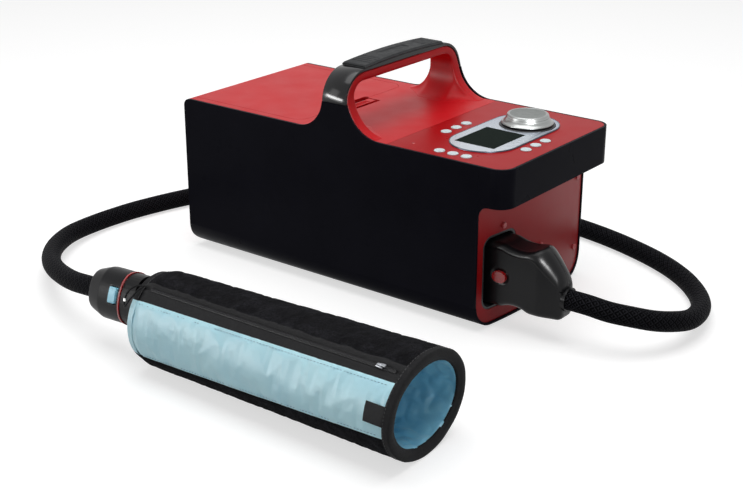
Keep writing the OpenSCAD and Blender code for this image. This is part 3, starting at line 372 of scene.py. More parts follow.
def braid():
    """Braided yarn: two families of strands that cross over and under, laid by the hose's UV map, with
    painted shade between the strands and painted glints on their crowns.
    """
    n = Nodes("hose braid")
    sep = n.axes("UV")
    u = n.math("MULTIPLY", sep[0], 2 * math.pi / 0.0040)
    v = n.math("MULTIPLY", sep[1], 2 * math.pi * 18 / (math.pi * 0.02))
    a = n.math("ADD", n.math("MULTIPLY", n.math("SINE", n.math("ADD", u, v)), 0.5), 0.5)
    b = n.math("ADD", n.math("MULTIPLY", n.math("SINE", n.math("SUBTRACT", u, v)), 0.5), 0.5)
    over = n.math("MULTIPLY", n.math("SINE", n.math("MULTIPLY", u, 0.5)),
                  n.math("COSINE", n.math("MULTIPLY", v, 0.5)))
    pick = n.math("GREATER_THAN", over, 0.0)
    h = n.math("ADD", n.math("MULTIPLY", a, pick), n.math("MULTIPLY", b, n.math("SUBTRACT", 1.0, pick)))
    fuzz = n.noise(1500, 3, 0.7)
    h = n.math("MULTIPLY_ADD", fuzz, 0.4, n.math("POWER", h, 0.7))
    # painted light: colour follows strand height, darkest between strands as painted shade and lightest on
    # the crowns as painted glints; the fuzz adds real yarn variation
    n.set("Base Color", n.ramp(n.math("MULTIPLY", h, 0.8),
            [(0.15, lin((2, 2, 3))), (0.62, lin((11, 11, 14))), (1.0, lin((40, 40, 44)))]))
    n.set("Normal", n.bump(h, 0.9, 0.0006))
    n.set("Roughness", n.span(fuzz, 0.42, 0.62))
    n.set("Specular IOR Level", 0.01)
    return n.m


def fleece():
    """Brushed loop pile: soft dark nap with lint-like lighter flecks."""
    n = Nodes("fleece")
    fine, coarse = n.noise(620, 6, 0.75), n.noise(70, 4, 0.6)
    mix = n.math("MULTIPLY_ADD", coarse, 0.45, n.math("MULTIPLY", fine, 0.6))
    n.set("Base Color", n.ramp(mix, [(0.32, lin((8, 8, 10))), (0.52, lin((20, 20, 23))),
            (0.72, lin((46, 46, 51)))]))
    n.set("Normal", n.bump(fine, 1.0, 0.0012))
    n.set("Roughness", 0.95)
    n.set("Specular IOR Level", 0.03)
    n.set("Sheen Weight", 0.02)
    n.set("Sheen Roughness", 0.6)
    return n.m


def cloth(name, light, dark, pitch=0.0007, rough=0.42, sheen=0.2):
    """Plain woven nylon: threads both ways over soft mottling."""
    n = Nodes(name)
    sep = n.axes("UV")
    k = 2 * math.pi / pitch
    warp = n.math("SINE", n.math("MULTIPLY", sep[0], k))
    weft = n.math("SINE", n.math("MULTIPLY", sep[1], k))
    weave = n.math("MULTIPLY_ADD", n.math("MULTIPLY", warp, weft), 0.5, 0.5)
    blotch = n.noise(22, 4)
    fac = n.math("ADD", n.math("MULTIPLY", weave, 0.22), n.math("MULTIPLY", blotch, 0.8))
    n.set("Base Color", n.ramp(fac, [(0.25, lin(dark)), (0.75, lin(light))]))
    soft = n.bump(n.noise(160, 3), 0.25, 0.0006)
    n.set("Normal", n.bump(weave, 0.35, 0.00012, soft))
    n.set("Roughness", n.span(blotch, rough - 0.06, rough + 0.06))
    n.set("Sheen Weight", sheen)
    n.set("Specular IOR Level", 0.45)
    return n.m


def glass():
    """Display window: dark glass with a faint green cast over the display's cells."""
    n = Nodes("display glass")
    cells = n.add("TexBrick", Scale=260.0)
    cells.inputs["Color1"].default_value = (*lin((36, 42, 39)), 1)
    cells.inputs["Color2"].default_value = (*lin((42, 48, 45)), 1)
    cells.inputs["Mortar"].default_value = (*lin((29, 36, 34)), 1)
    n.wire(n.c.outputs["Object"], cells.inputs["Vector"])
    n.set("Base Color", cells.outputs["Color"])
    n.set("Roughness", n.span(n.noise(40, 3), 0.10, 0.16))
    n.set("Specular IOR Level", 0.0)
    return n.m


def bezel():
    """Silver bezel: pale blue-grey lacquer with a painted sheen, lighter towards its near end and darker
    blue-grey towards its far end.
    """
    n = Nodes("bezel silver")
    sep = n.axes()
    # painted sheen: the colour runs from light at the near end to darker blue-grey at the far end
    along = n.math("MULTIPLY_ADD", sep[1], 1 / 0.145, 0.47)
    mixed = n.math("MULTIPLY_ADD", n.noise(60, 4), 0.18, n.math("SUBTRACT", along, 0.09))
    n.set("Base Color", n.ramp(mixed, [(0.0, lin((196, 202, 210))), (0.5, lin((178, 186, 196))),
            (1.0, lin((150, 158, 176)))]))
    n.set("Roughness", n.span(n.noise(90, 3), 0.24, 0.32))
    n.set("Normal", n.bump(n.noise(2600, 2), 0.1, 0.00002))
    n.set("Metallic", 0.25)
    return n.m


def liner():
    """Lid liner: pale moulding, with painted shade: its upper face, which shows only in the latch's finger
    slot, is painted dark red.
    """
    n = Nodes("lid liner")
    sep = n.axes()
    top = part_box("lid_liner")[1].z
    # painted shade: the upper face is coloured dark red so that the finger slot reads as shade
    upper = n.math("GREATER_THAN", sep[2], top - 0.0006)
    shade = n.math("MULTIPLY_ADD", n.noise(60, 4), 0.1, n.math("MULTIPLY", upper, 0.8))
    n.set("Base Color", n.ramp(shade, [(0.0, lin((210, 213, 214))), (0.1, lin((216, 219, 220))),
            (0.4, lin((40, 8, 10))), (1.0, lin((30, 6, 8)))]))
    n.set("Roughness", n.span(n.noise(90, 3), 0.32, 0.42))
    n.set("Normal", n.bump(n.noise(900, 3), 0.12, 0.00005))
    return n.m


def key_grey():
    """Button caps: pale grey silicone, softly mottled."""
    n = Nodes("button grey")
    n.set("Base Color", n.ramp(n.noise(500, 3), [(0.35, lin((196, 212, 216))), (0.65, lin((216, 228, 230)))]))
    n.set("Roughness", n.span(n.noise(300, 2), 0.38, 0.5))
    n.set("Normal", n.bump(n.noise(1200, 3), 0.12, 0.00006))
    n.set("Subsurface Weight", 0.1)
    n.set("Subsurface Radius", (0.002, 0.002, 0.002))
    return n.m


M.update(wall=wall_red_painted_light(), knob=brushed(), braid=braid(), fleece=fleece(), lcd=glass(), bezel=bezel(),
         key=key_grey(), liner=liner(),
         pale=cloth("pale panel", (202, 246, 255), (180, 232, 248)),
         lining=cloth("lining", (176, 236, 253), (108, 200, 238)))

# --- the hose: the route of the CAD hose; the stretch behind the machine is a guess
conn_dir = Vector((0.98405, -0.12955, 0.12187))
conn_origin = Vector((-52, -329, 55.5))
route = [(259, -62, 45), (278, -62, 45), (298, -58, 42), (316, -47, 38), (331, -30, 32), (341, -8, 26),
         (345, 17, 20), (342, 43, 16), (333, 70, 13), (318, 95, 11), (298, 118, 10), (272, 139, 10),
         (243, 156, 10), (208, 171, 10), (168, 184, 10), (120, 194, 10), (60, 199, 10), (0, 199, 10),
         (-60, 193, 10), (-120, 180, 10), (-174, 160, 10), (-220, 132, 10), (-255, 95, 10),
         (-281, 51, 10), (-300, 2, 10), (-314, -47, 10), (-322, -93, 10), (-322, -138, 11),
         (-312, -182, 14), (-290, -221, 18), (-260, -254, 23), (-224, -281, 29), (-187, -300, 35),
         (-152, -313, 41), (-130, -318.4, 45.2), tuple(conn_origin - conn_dir * 55)]
path = spline([V(*p) for p in route], (1, 0, 0), conn_dir)
path = [Vector((p.x, p.y, max(p.z, 0.0101))) for p in path]
hose = tube("braided_hose", path, 0.010, M["braid"], sides=32)
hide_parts("hose")
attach(hose, "hose_set")

# --- what each CAD node is made of
MADE_OF = {
    "shell": "left_side_panel right_side_panel front_brow base_pan",
    "ring": "foot_ring lid_gasket",
    "red": "deck_housing handle_core lid lid_latch",
    "cover": "handle_cover",
    "rubber": "grip_pad",
    "wall": "front_wall rear_wall",
    "screw_red_painted_highlight": "wall_screws",
    "inner_black": "connector_socket power_inlet lcd_module knob_collar encoder reservoir_strainer "
                   "pump_housing air_compressor hose_plug",
    "panel_red": "control_panel",
    "bezel": "display_bezel",
    "lcd": "lcd_window",
    "steel": "knob_shaft lid_hinge_pin",
    "knob": "control_knob",
    "board": "control_board main_board",
    "inner_white": "reservoir valve_manifold",
    "foam": "reservoir_insulation",
    "liner": "lid_liner",
    "impeller": "pump_rotor",
    "clear": "fluid_tubes",
    "conn": "machine_connector hose_collars",
    "release_red": "connector_button connector_ring",
    "braid": "hose",
    "hand_conn": "sleeve_connector sleeve_port",
    "release_blue": "sleeve_button",
    "fleece": "sleeve_cover",
    "lining": "sleeve_bladder",
    "binding": "sleeve_bindings",
    "slider": "zip_slider",
}
FINISH = {node: finish for finish, nodes in MADE_OF.items() for node in nodes.split()}
FINISH.update({f"button_{i}": "key" for i in range(1, 10)})


def bevel(o, width, angle=35, segments=2):
    """Breaks the sharp edges of a CAD node or piece, as moulding does."""
    w = o.modifiers.new("weld", "WELD")
    w.merge_threshold = 0.00001
    b = o.modifiers.new("edges", "BEVEL")
    b.width, b.segments, b.limit_method, b.angle_limit = width * MM, segments, "ANGLE", math.radians(angle)
    b.use_clamp_overlap, b.harden_normals = True, False
    return o


for name, o in NODES.items():
    o.data.materials.clear()
    o.data.materials.append(M[FINISH[name]])

for name, width in {"left_side_panel": 0.7, "right_side_panel": 0.7, "front_brow": 0.7, "handle_cover": 0.8,
                    "deck_housing": 0.4, "lid": 0.5, "lid_latch": 0.4, "display_bezel": 0.4,
                    "knob_collar": 0.5, "connector_button": 1.2, "sleeve_button": 1.0,
                    "sleeve_port": 0.8, "connector_socket": 0.5}.items():
    bevel(NODES[name], width)


def softened(name, node, body, voxel, rounds, sink=0.0):
    """A copy of a node's solid, remeshed evenly and relaxed, for mouldings with soft flowing edges."""
    src = NODES[node].data
    me = src.copy()
    o = link(name, me)
    bm = bmesh.new()
    bm.from_mesh(me)
    bmesh.ops.remove_doubles(bm, verts=bm.verts, dist=1e-5)
    if sink:
        low = min(v.co.z for v in bm.verts)
        for v in bm.verts:
            if v.co.z < low + 1e-4:
                v.co.z -= sink
    bm.to_mesh(me)
    bm.free()
    r = o.modifiers.new("even", "REMESH")
    r.mode, r.voxel_size, r.adaptivity = "VOXEL", voxel * MM, 0.0
    s = o.modifiers.new("relax", "SMOOTH")
    s.factor, s.iterations = 0.5, rounds
    dg = bpy.context.evaluated_depsgraph_get()
    new = bpy.data.meshes.new_from_object(o.evaluated_get(dg))
    o.modifiers.clear()
    o.data = new
    new.materials.clear()
    new.materials.append(M[FINISH[node]])
    new.polygons.foreach_set("use_smooth", [True] * len(new.polygons))
    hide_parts(node)
    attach(o, body)
    return o


core = softened("handle_moulding", "handle_core", "machine", 1.3, 10, sink=2.0 * MM)
hand_end = softened("sleeve_plug_shell", "sleeve_connector", "hose_set", 0.8, 8)


def plug_shell():
    """Machine-end connector: a rounded box with finger scoops, a ridge and a nose that curves down."""
    lo, hi = (Vector(p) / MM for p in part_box("machine_connector"))
    x0, x1, zb, zt = lo.x, hi.x, lo.z, hi.z
    ridge, tip = x1 - 23.5, 64.0  # where the ridge crosses, and how high the nose ends
    scoop_r, end_r = 30.0, 5.5
    rows_along, side_points, corner_points = 120, 44, 10
    mid_y, half = (lo.y + hi.y) / 2, (hi.y - lo.y) / 2
    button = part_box("connector_button")
    bx, bz = ((button[0][k] + button[1][k]) / 2 / MM for k in (0, 2))

    def top(x):
        z = zt
        d = x - (ridge - 22)
        if abs(d) < 18:
            z -= 0.6 * max(0.0, math.sqrt(scoop_r**2 - d * d) - 24)
        if x > ridge:
            z -= (zt - tip) * ((x - ridge) / (x1 - ridge)) ** 1.3
        return z

    def low(x):
        d = x - (ridge - 26)
        return zb + (max(0.0, math.sqrt(scoop_r**2 - d * d) - 26) if abs(d) < 15 else 0.0)

    def soft(f, x, w=2.6):
        return sum(f(clamp(x + w * k / 4, x0, x1)) for k in range(-4, 5)) / 9

    stations = []
    for k in range(rows_along + 1):  # closer rows where both ends round over
        t = k / rows_along
        stations.append(x0 + (x1 - x0) * (t - 0.10 * math.sin(2 * math.pi * t) / math.pi))
    verts = []
    for x in stations:
        d = min(x - x0, x1 - x)
        inset = end_r - math.sqrt(max(0.0, end_r * end_r - (end_r - min(d, end_r)) ** 2))
        side = 5.0 * ease(x1 - 26, x1, x)
        w = half - side - inset
        z1, z0 = soft(top, x) - inset, soft(low, x) + inset * 0.8
        r = max(1.0, min(6.0, w - 1, (z1 - z0) / 2 - 1) - inset * 0.4)
        rt = max(r, min(r + 9.0 * ease(ridge - 12, ridge + 4, x), w - 1.5))
        ring = []
        corners = ((w - rt, z1 - rt, 0, rt), (-w + rt, z1 - rt, 90, rt), (-w + r, z0 + r, 180, r),
                   (w - r, z0 + r, 270, r))
        for c, (cy, cz, a0, rc) in enumerate(corners):
            for q in range(corner_points):
                a = math.radians(a0 + 10 * q)
                ring.append((cy + rc * math.cos(a), cz + rc * math.sin(a)))
            ny, nz, _, rn = corners[(c + 1) % 4]
            a = math.radians(a0 + 90)
            p = (cy + rc * math.cos(a), cz + rc * math.sin(a))
            e = (ny + rn * math.cos(a), nz + rn * math.sin(a))
            for q in range(side_points):
                t = q / side_points
                ring.append((p[0] + (e[0] - p[0]) * t, p[1] + (e[1] - p[1]) * t))
        for y, z in ring:
            if y < -w + 0.05:  # the side that the button sits in
                gap = math.hypot(max(abs(x - bx) - 2.0, 0), z - bz) - 5.5
                y += 1.0 * (1 - ease(0.6, 3.2, gap))
            if z > z1 - 0.05 and abs(y) < w - rt:  # fine grip lines across the scoop
                hold = ease(0, 5, 14 - abs(x - (ridge - 24))) * ease(0, 2, w - rt - abs(y))
                z -= 0.3 * hold * (0.5 + 0.5 * math.cos(2 * math.pi * (x - ridge) / 2.4))
            verts.append(V(x, mid_y + y, z))
    n = len(verts) // len(stations)
    faces = grid_faces(len(stations), n, wrap_v=True)
    faces += [tuple(range(n)), tuple((len(stations) - 1) * n + q for q in reversed(range(n)))]
    o = mesh_piece("machine_plug_shell", verts, faces, M["conn"])
    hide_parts("machine_connector")
    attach(o, "hose_set")


plug_shell()

# --- knob: spun aluminium with a flared skirt, a fine rim and a dished top, the dish painted darker as painted shade
DISH_R, DISH_Z = 18.2, 9.2  # inside this radius and above this height the top is dished
# painted shade: the dished top gets a darker grey copy of the spun aluminium
M["knob_top"] = finish_of("knob top painted shade", (112, 116, 114), 0.36, 0.05, 60, 1600, 0.00002, 0.08, metal=1.0)
knob = lathe("spun_knob", [(r, KNOB_Z + h) for r, h in (
    (24.3, 0), (26.2, 0.15), (26.5, 0.5), (26.5, 1.1), (26.2, 1.5), (25.4, 1.9), (24.3, 2.7), (23.2, 4.0),
    (22.3, 5.6), (21.7, 7.2), (21.3, 8.4), (21.0, 9.1), (20.4, 9.7), (19.7, 9.95), (18.9, 9.95),
    (18.4, 9.75), (18.1, 9.55), (17.5, 9.5), (10, 9.45), (3, 9.4))], (KNOB_X, KNOB_Y), M["knob"], 128)
knob.data.materials.append(M["knob_top"])


def in_dish(p):
    return p.z > (KNOB_Z + DISH_Z) * MM and math.hypot(p.x - KNOB_X * MM, p.y - KNOB_Y * MM) < DISH_R * MM


# the faces inside the dish take the painted shade
for face in knob.data.polygons:
    if all(in_dish(knob.data.vertices[v].co) for v in face.vertices):
        face.material_index = 1
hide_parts("control_knob")
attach(knob, "knob")

# --- rubber pad on the handle: ribs towards both ends, a bare recess in the middle
crown_half, crown_h = 68.0, 2.5
crown_r = (crown_half**2 + crown_h**2) / (2 * crown_h)
crown_z = 232 + crown_h - crown_r


def pad_piece():
    half, xa, xb, t = 67.0, -12.6, 18.1, 2.75  # half length, both sides and thickness in mm
    ns, nx = 269, 41
    rib_places = (-56, -50.5, -45, -39.5, 39.5, 45, 50.5, 56)
    verts = []

    def height(y, x):
        edge = min(x - xa, xb - x)
        h = t - 1.6 * (1 - ease(0, 2.2, edge)) - 0.9 * (1 - ease(0, 1.6, half - abs(y)))
        inner = ease(3.0, 3.8, edge)
        for c in rib_places:
            h -= 0.55 * inner * (1 - ease(0.5, 1.1, abs(y - c)))
        frame_y, frame_x = 20 - abs(y), 5.2 - abs(x - 2.75)
        inside = ease(0, 0.7, min(frame_y, frame_x))
        h -= 0.8 * inside
        h += 0.03 * rnd(x, y, 0, 0.9)
        return h

    for rise in (height, lambda y, x: 0.05):  # the outer face, then the underside
        for i in range(ns):
            y = -half + 2 * half * i / (ns - 1)
            a = math.asin(y / crown_r)
            for k in range(nx):
                x = xa + (xb - xa) * k / (nx - 1)
                r = crown_r + rise(y, x)
                verts.append(V(x, r * math.sin(a), crown_z + r * math.cos(a)))
    faces = grid_faces(ns, nx, flip=True)
    low = ns * nx
    faces += [tuple(low + v for v in f[::-1]) for f in faces]
    rim = list(range(nx)) + [i * nx + nx - 1 for i in range(1, ns)]
    rim += [(ns - 1) * nx + k for k in range(nx - 2, -1, -1)] + [i * nx for i in range(ns - 2, 0, -1)]
    faces += [(a, b, low + b, low + a) for a, b in zip(rim, rim[1:] + rim[:1])]
    o = mesh_piece("grip_rubber", verts, faces, M["rubber"])
    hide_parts("grip_pad")
    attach(o, "machine")


pad_piece()


# --- small trim on the deck
TRIM_Z = 170.9  # mm, the foot of the rim and the lamp


def outline_trim(name, outline, width, z0, z1, mat, body):
    """A thin raised rim that follows a closed outline given in mm."""
    n = len(outline)
    verts = []
    for i in range(n):
        p, q, r = outline[i - 1], outline[i], outline[(i + 1) % n]
        d = Vector((r[0] - p[0], r[1] - p[1])).normalized()
        out = Vector((d.y, -d.x))
        for off, z in ((0, z0), (0, z1 - 0.15), (-0.2, z1), (-width + 0.2, z1), (-width, z1 - 0.15),
                (-width, z0)):
            verts.append(V(q[0] + out.x * off, q[1] + out.y * off, z))
    faces = grid_faces(n, 6, wrap_u=True)
    o = mesh_piece(name, verts, faces, mat)
    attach(o, body)
    return o


def pill(cx, w, ya, yb, n=40):
    pts = []
    for k in range(n + 1):
        a = math.pi + math.pi * k / n
        pts.append((cx + w / 2 * math.cos(a), ya + w / 2 + w / 2 * math.sin(a)))
    for k in range(n + 1):
        a = math.pi * k / n
        pts.append((cx + w / 2 * math.cos(a), yb - w / 2 + w / 2 * math.sin(a)))
    return pts


M["rim"] = finish_of("bezel rim", (62, 70, 86), 0.28, 0.1, 60, 1800, 0.00002, 0.1, metal=0.3)
outline_trim("bezel_rim", pill(139, 70.6, -68.3, 75.3), 1.0, TRIM_Z, 172.35, M["rim"], "machine")
led = lathe("status_lamp", [(1.5, TRIM_Z), (1.45, 171.2), (1.1, 171.35), (0.5, 171.4)], (87, -80),
            M["release_red"], 24)
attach(led, "machine")


def plate(name, x0, x1, y0, y1, z0, z1, r, mat, body):
    """A thin plate with round corners and a broken upper edge, sizes in mm."""
    verts = []
    corners = ((x1 - r, y1 - r), (x0 + r, y1 - r), (x0 + r, y0 + r), (x1 - r, y0 + r))
    for z, inset in ((z0, 0), (z1 - 0.12, 0), (z1, 0.15)):
        for a0, (cx, cy) in zip((0, 90, 180, 270), corners):
            for q in range(9):
                a = math.radians(a0 + 11.25 * q)
                verts.append(V(cx + (r - inset) * math.cos(a), cy + (r - inset) * math.sin(a), z))
    faces = grid_faces(3, 36, wrap_v=True, flip=True)
    faces += [tuple(reversed(range(36))), tuple(range(72, 108))]
    o = mesh_piece(name, verts, faces, mat, smooth=False)
    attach(o, body)
    return o


# painted shade: a dark red plate laid over the reservoir rim in the latch's finger slot, where there is only
# shade
M["keeper"] = finish_of("latch keeper", (92, 8, 14), 0.5, 0.08, 60, 1500, 0.00003, 0.15, spec=0.2)
plate("latch_keeper", -54.8, -48.4, -25.8, 25.8, 164.05, 164.5, 1.2, M["keeper"], "machine")

# --- therapy sleeve: its own frame has X along the tube and angles from +Y over the top
S_L, S_A0, S_A1, S_B = 298.0, 42.0, 56.0, 44.5
S_AT, S_YAW = Vector((-22, -327, 45.5)), math.radians(2.2)


def sleeve_point(x, phi, lift):
    a = S_A0 + (S_A1 - S_A0) * x / S_L + lift
    b = S_B + lift
    y, z = a * math.cos(math.radians(phi)), b * math.sin(math.radians(phi))
    c, s = math.cos(S_YAW), math.sin(S_YAW)
    return (S_AT + Vector((c * x - s * y, s * x + c * y, z))) * MM


def panel_top(x):
    return 138.4 + (131.8 - 138.4) * (x - 16.9) / 271.1


def panel_low(x):
    return 213.0 + (192.6 - 213.0) * (x + 1.5) / 289.2


ZIP = 121.0  # degrees, the zip's line
PER_DEG, LINING_PER_DEG = 0.83, 0.68  # mm of cloth to a degree round the cover and the lining
GATHER_L = 16  # mm of the tube that the hose end draws in
FLEECE, PALE, TAPE = 0, 1, 2  # the cover's material slots
SEWN_AT = (240, 275, 320, 0, 45, 82)  # degrees, where the fleece is sewn down


def puff(o, pins, pressure, grow, cap_out, cap_in, frames=20):
    """Cloth simulation of a sewn layer: it swells between its seams, within the caps out, in and sideways."""
    me = o.data
    group = o.vertex_groups.new(name="sewn")
    for i, w in enumerate(pins):
        group.add([i], w, "REPLACE")
    rest = [v.co.copy() for v in me.vertices]
    normals = [v.normal.copy() for v in me.vertices]
    m = o.modifiers.new("cloth", "CLOTH")
    s = m.settings
    s.quality, s.mass, s.air_damping = 5, 0.15, 2.0
    s.tension_stiffness = s.compression_stiffness = 12
    s.shear_stiffness, s.bending_stiffness = 4, 0.05
    s.vertex_group_mass, s.pin_stiffness = "sewn", 1.0
    s.use_pressure, s.uniform_pressure_force = True, pressure
    s.shrink_min = -grow
    s.effector_weights.gravity = 0
    m.collision_settings.use_collision = False
    m.point_cache.frame_start, m.point_cache.frame_end = 1, frames
    for f in range(1, frames + 1):
        scene.frame_set(f)
    got = o.evaluated_get(bpy.context.evaluated_depsgraph_get()).to_mesh()
    new = [v.co.copy() for v in got.vertices]
    o.modifiers.remove(m)
    o.vertex_groups.clear()
    for v, was, normal, now in zip(me.vertices, rest, normals, new):
        d = now - was
        along = d.dot(normal)
        along = cap_out * math.tanh(along / cap_out) if along > 0 else cap_in * math.tanh(along / cap_in)
        side = d - normal * d.dot(normal)
        side *= 1 / (1 + side.length / cap_out)
        v.co = was + normal * along + side
    me.update()
    scene.frame_set(1)


def thicken(o, depth, offset=-1.0):
    """Gives a layer its thickness in mm: inwards as it stands, or to both sides with an offset of 0."""
    m = o.modifiers.new("thickness", "SOLIDIFY")
    m.thickness, m.offset = depth * MM, offset
    m.use_rim = True
    return o


def gather(x, depth):
    """How far a layer is drawn in near the hose end, at x mm along the tube."""
    return depth * (1 - ease(0, GATHER_L, x))


def face_layer(o, inwards):
    """Turns every face of a tube-shaped layer away from the tube's middle, or towards it."""
    bm = bmesh.new()
    bm.from_mesh(o.data)
    bmesh.ops.recalc_face_normals(bm, faces=bm.faces)
    middle = sleeve_point(150, 0, -S_B)
    outward = sum((f.calc_center_median() - middle).dot(f.normal) for f in list(bm.faces)[::97])
    if (outward > 0) == inwards:
        bmesh.ops.reverse_faces(bm, faces=bm.faces)
    bm.to_mesh(o.data)
    bm.free()
    o.data.update()


def layer_uvs(faces, at, columns, turn):
    """Each face's UV corners. Those past the last column carry on where the turn would start again."""
    split = at[0][1] + turn / 2
    uvs = []
    for f in faces:
        quad = [at[v] for v in f]
        if f[0] % columns == columns - 1:
            quad = [q if q[1] > split else (q[0], q[1] + turn) for q in quad]
        uvs.append(quad)
    return uvs


# outer cover: one closed band of cloth, rows set on the seams so that each edge is crisp
ROW_COUNTS = (10, 44, 130)  # tape beside the zip, pale panel, fleece
rows = [(part, k / count) for part, count in enumerate(ROW_COUNTS) for k in range(count)]


def row_angle(row, x):
    part, t = row
    a, b = ((ZIP, panel_top(x)), (panel_top(x), panel_low(x)), (panel_low(x), ZIP + 360))[part]
    return a + (b - a) * t


NX = 150
xs = [1.2 + (S_L - 2.4) * i / (NX - 1) for i in range(NX)]
verts, uvs_at, pins = [], [], []
for x in xs:
    mouth = gather(x, 3.4)
    for row in rows:
        phi = row_angle(row, x)
        part, t = row
        wave = phi * PER_DEG
        lift = edge = 0.0
        if part == 1:  # pale satin panel with fine cross puckers, stronger by its edges
            edge = min(t, 1 - t) * (panel_low(x) - panel_top(x)) * PER_DEG
            near = 1 - ease(0, 16, edge)
            lift += -0.1 + 0.42 * rnd(x * 0.15, wave * 0.010, 3.1) + 0.30 * rnd(x * 0.31, wave * 0.018, 9.2)
            lift += near * (0.42 * rnd(x * 0.42, wave * 0.03, 5.5) + 0.22 * rnd(x * 0.8, wave * 0.05, 1.7))
            lift += 0.5 * rnd(x * 0.022, wave * 0.03, 7.7)
            lift -= 0.55 * (1 - ease(0, 1.6, edge))
            lift -= 0.25 * (1 - ease(0.2, 1.2, abs(edge - 3.4)))
        elif part == 0:  # smooth tape beside the zip
            lift += -0.35 + 0.10 * rnd(x * 0.2, wave * 0.1, 2.2)
            lift += 0.7 * (1 - ease(0.8, 2.4, abs((phi - ZIP) * PER_DEG - 3.6)))  # flap fold over the teeth
            lift -= 1.0 * (1 - ease(0.6, 1.6, (phi - ZIP) * PER_DEG))
        else:  # fleece
            edge = min((phi - panel_low(x)), (ZIP + 360 - phi)) * PER_DEG
            lift += 0.75 + 0.35 * rnd(x * 0.03, wave * 0.03, 4.4) + 0.16 * rnd(x * 0.15, wave * 0.15, 6.1)
            lift -= 1.35 * (1 - ease(0, 3.0, edge))
            back = (ZIP + 360 - phi) * PER_DEG
            lift += 0.55 * (1 - ease(1.0, 3.0, abs(back - 4.2)))  # rolled lip behind the zip
        low_side = max(0.0, -math.sin(math.radians(phi)))
        lift = min(lift, 0.9) if low_side > 0.9 else lift
        lift -= mouth
        verts.append(sleeve_point(x, phi, lift))
        uvs_at.append((x * MM, wave * MM))
        end = 1 - ease(0, 9, min(x, S_L - x))
        seam = {0: 1.0, 1: 1 - ease(0, 0.06, min(t, 1 - t)), 2: 1 - ease(0, 4, edge)}[part]
        held = 1 - ease(0, 2.5, min(abs((phi - c + 180) % 360 - 180) for c in SEWN_AT))
        pins.append(max(end, seam, 0.75 * held if part == 2 else 0, low_side ** 6))
NR = len(rows)
faces = grid_faces(NX, NR, wrap_v=True)
marks = []
for f in faces:
    i, k = f[0] // NR, f[0] % NR
    part = rows[k][0]
    from_zip = (ZIP + 360 - row_angle(rows[k], xs[i])) * PER_DEG
    marks.append((TAPE, PALE, FLEECE)[part] if part < 2 or from_zip > 8 else TAPE)
uvs = layer_uvs(faces, uvs_at, NR, 360 * PER_DEG * MM)
cover = mesh_piece("sleeve_cover_cloth", verts, faces, [M["fleece"], M["pale"], M["tape"]], marks, uvs)
face_layer(cover, inwards=False)
puff(cover, pins, 2.5, 0.02, 1.1 * MM, 0.6 * MM)
thicken(cover, 2.0)
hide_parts("sleeve_cover")
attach(cover, "sleeve")

# lining and bladder: a padded tube, sewn in long channels
NI, NC = 110, 180
verts, pins, uvs_at = [], [], []
CHANNEL = 24.0  # degrees from seam to seam
for i in range(NI):
    x = 1.6 + (S_L - 3.2) * i / (NI - 1)
    mouth = gather(x, 3.2)
    for k in range(NC):
        phi = 360 * k / NC
        c = (phi + 5 * rnd(x * 0.012, 0, 8.8)) % CHANNEL / CHANNEL
        crown = math.sin(math.pi * c) ** 0.7
        pucker = (1 - crown) * (0.5 * rnd(x * 0.3, math.floor(phi / CHANNEL) * 3.3, 1.1))
        cs, sn = math.cos(math.radians(phi)), math.sin(math.radians(phi))
        lift = -6.3 - 1.5 * crown + pucker + 0.5 * rnd(x * 0.05, sn * 2, cs * 2)
        lift -= mouth + ease(215, 280, x) * abs(3.0 * rnd(x * 0.07, cs * 3.0, sn * 3.0 + 4))
        verts.append(sleeve_point(x, phi, lift))
        uvs_at.append((x * MM, phi * LINING_PER_DEG * MM))
        end = 1 - ease(0, 6, min(x, S_L - x))
        pins.append(max(end, 1 - ease(0, 0.12, min(c, 1 - c))))
faces = grid_faces(NI, NC, wrap_v=True)
uvs = layer_uvs(faces, uvs_at, NC, 360 * LINING_PER_DEG * MM)
lining = mesh_piece("sleeve_lining", verts, faces, [M["lining"]], None, uvs)
face_layer(lining, inwards=True)
puff(lining, pins, 3.0, 0.03, 1.8 * MM, 0.6 * MM)
thicken(lining, 3.2)
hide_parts("sleeve_bladder")
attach(lining, "sleeve")


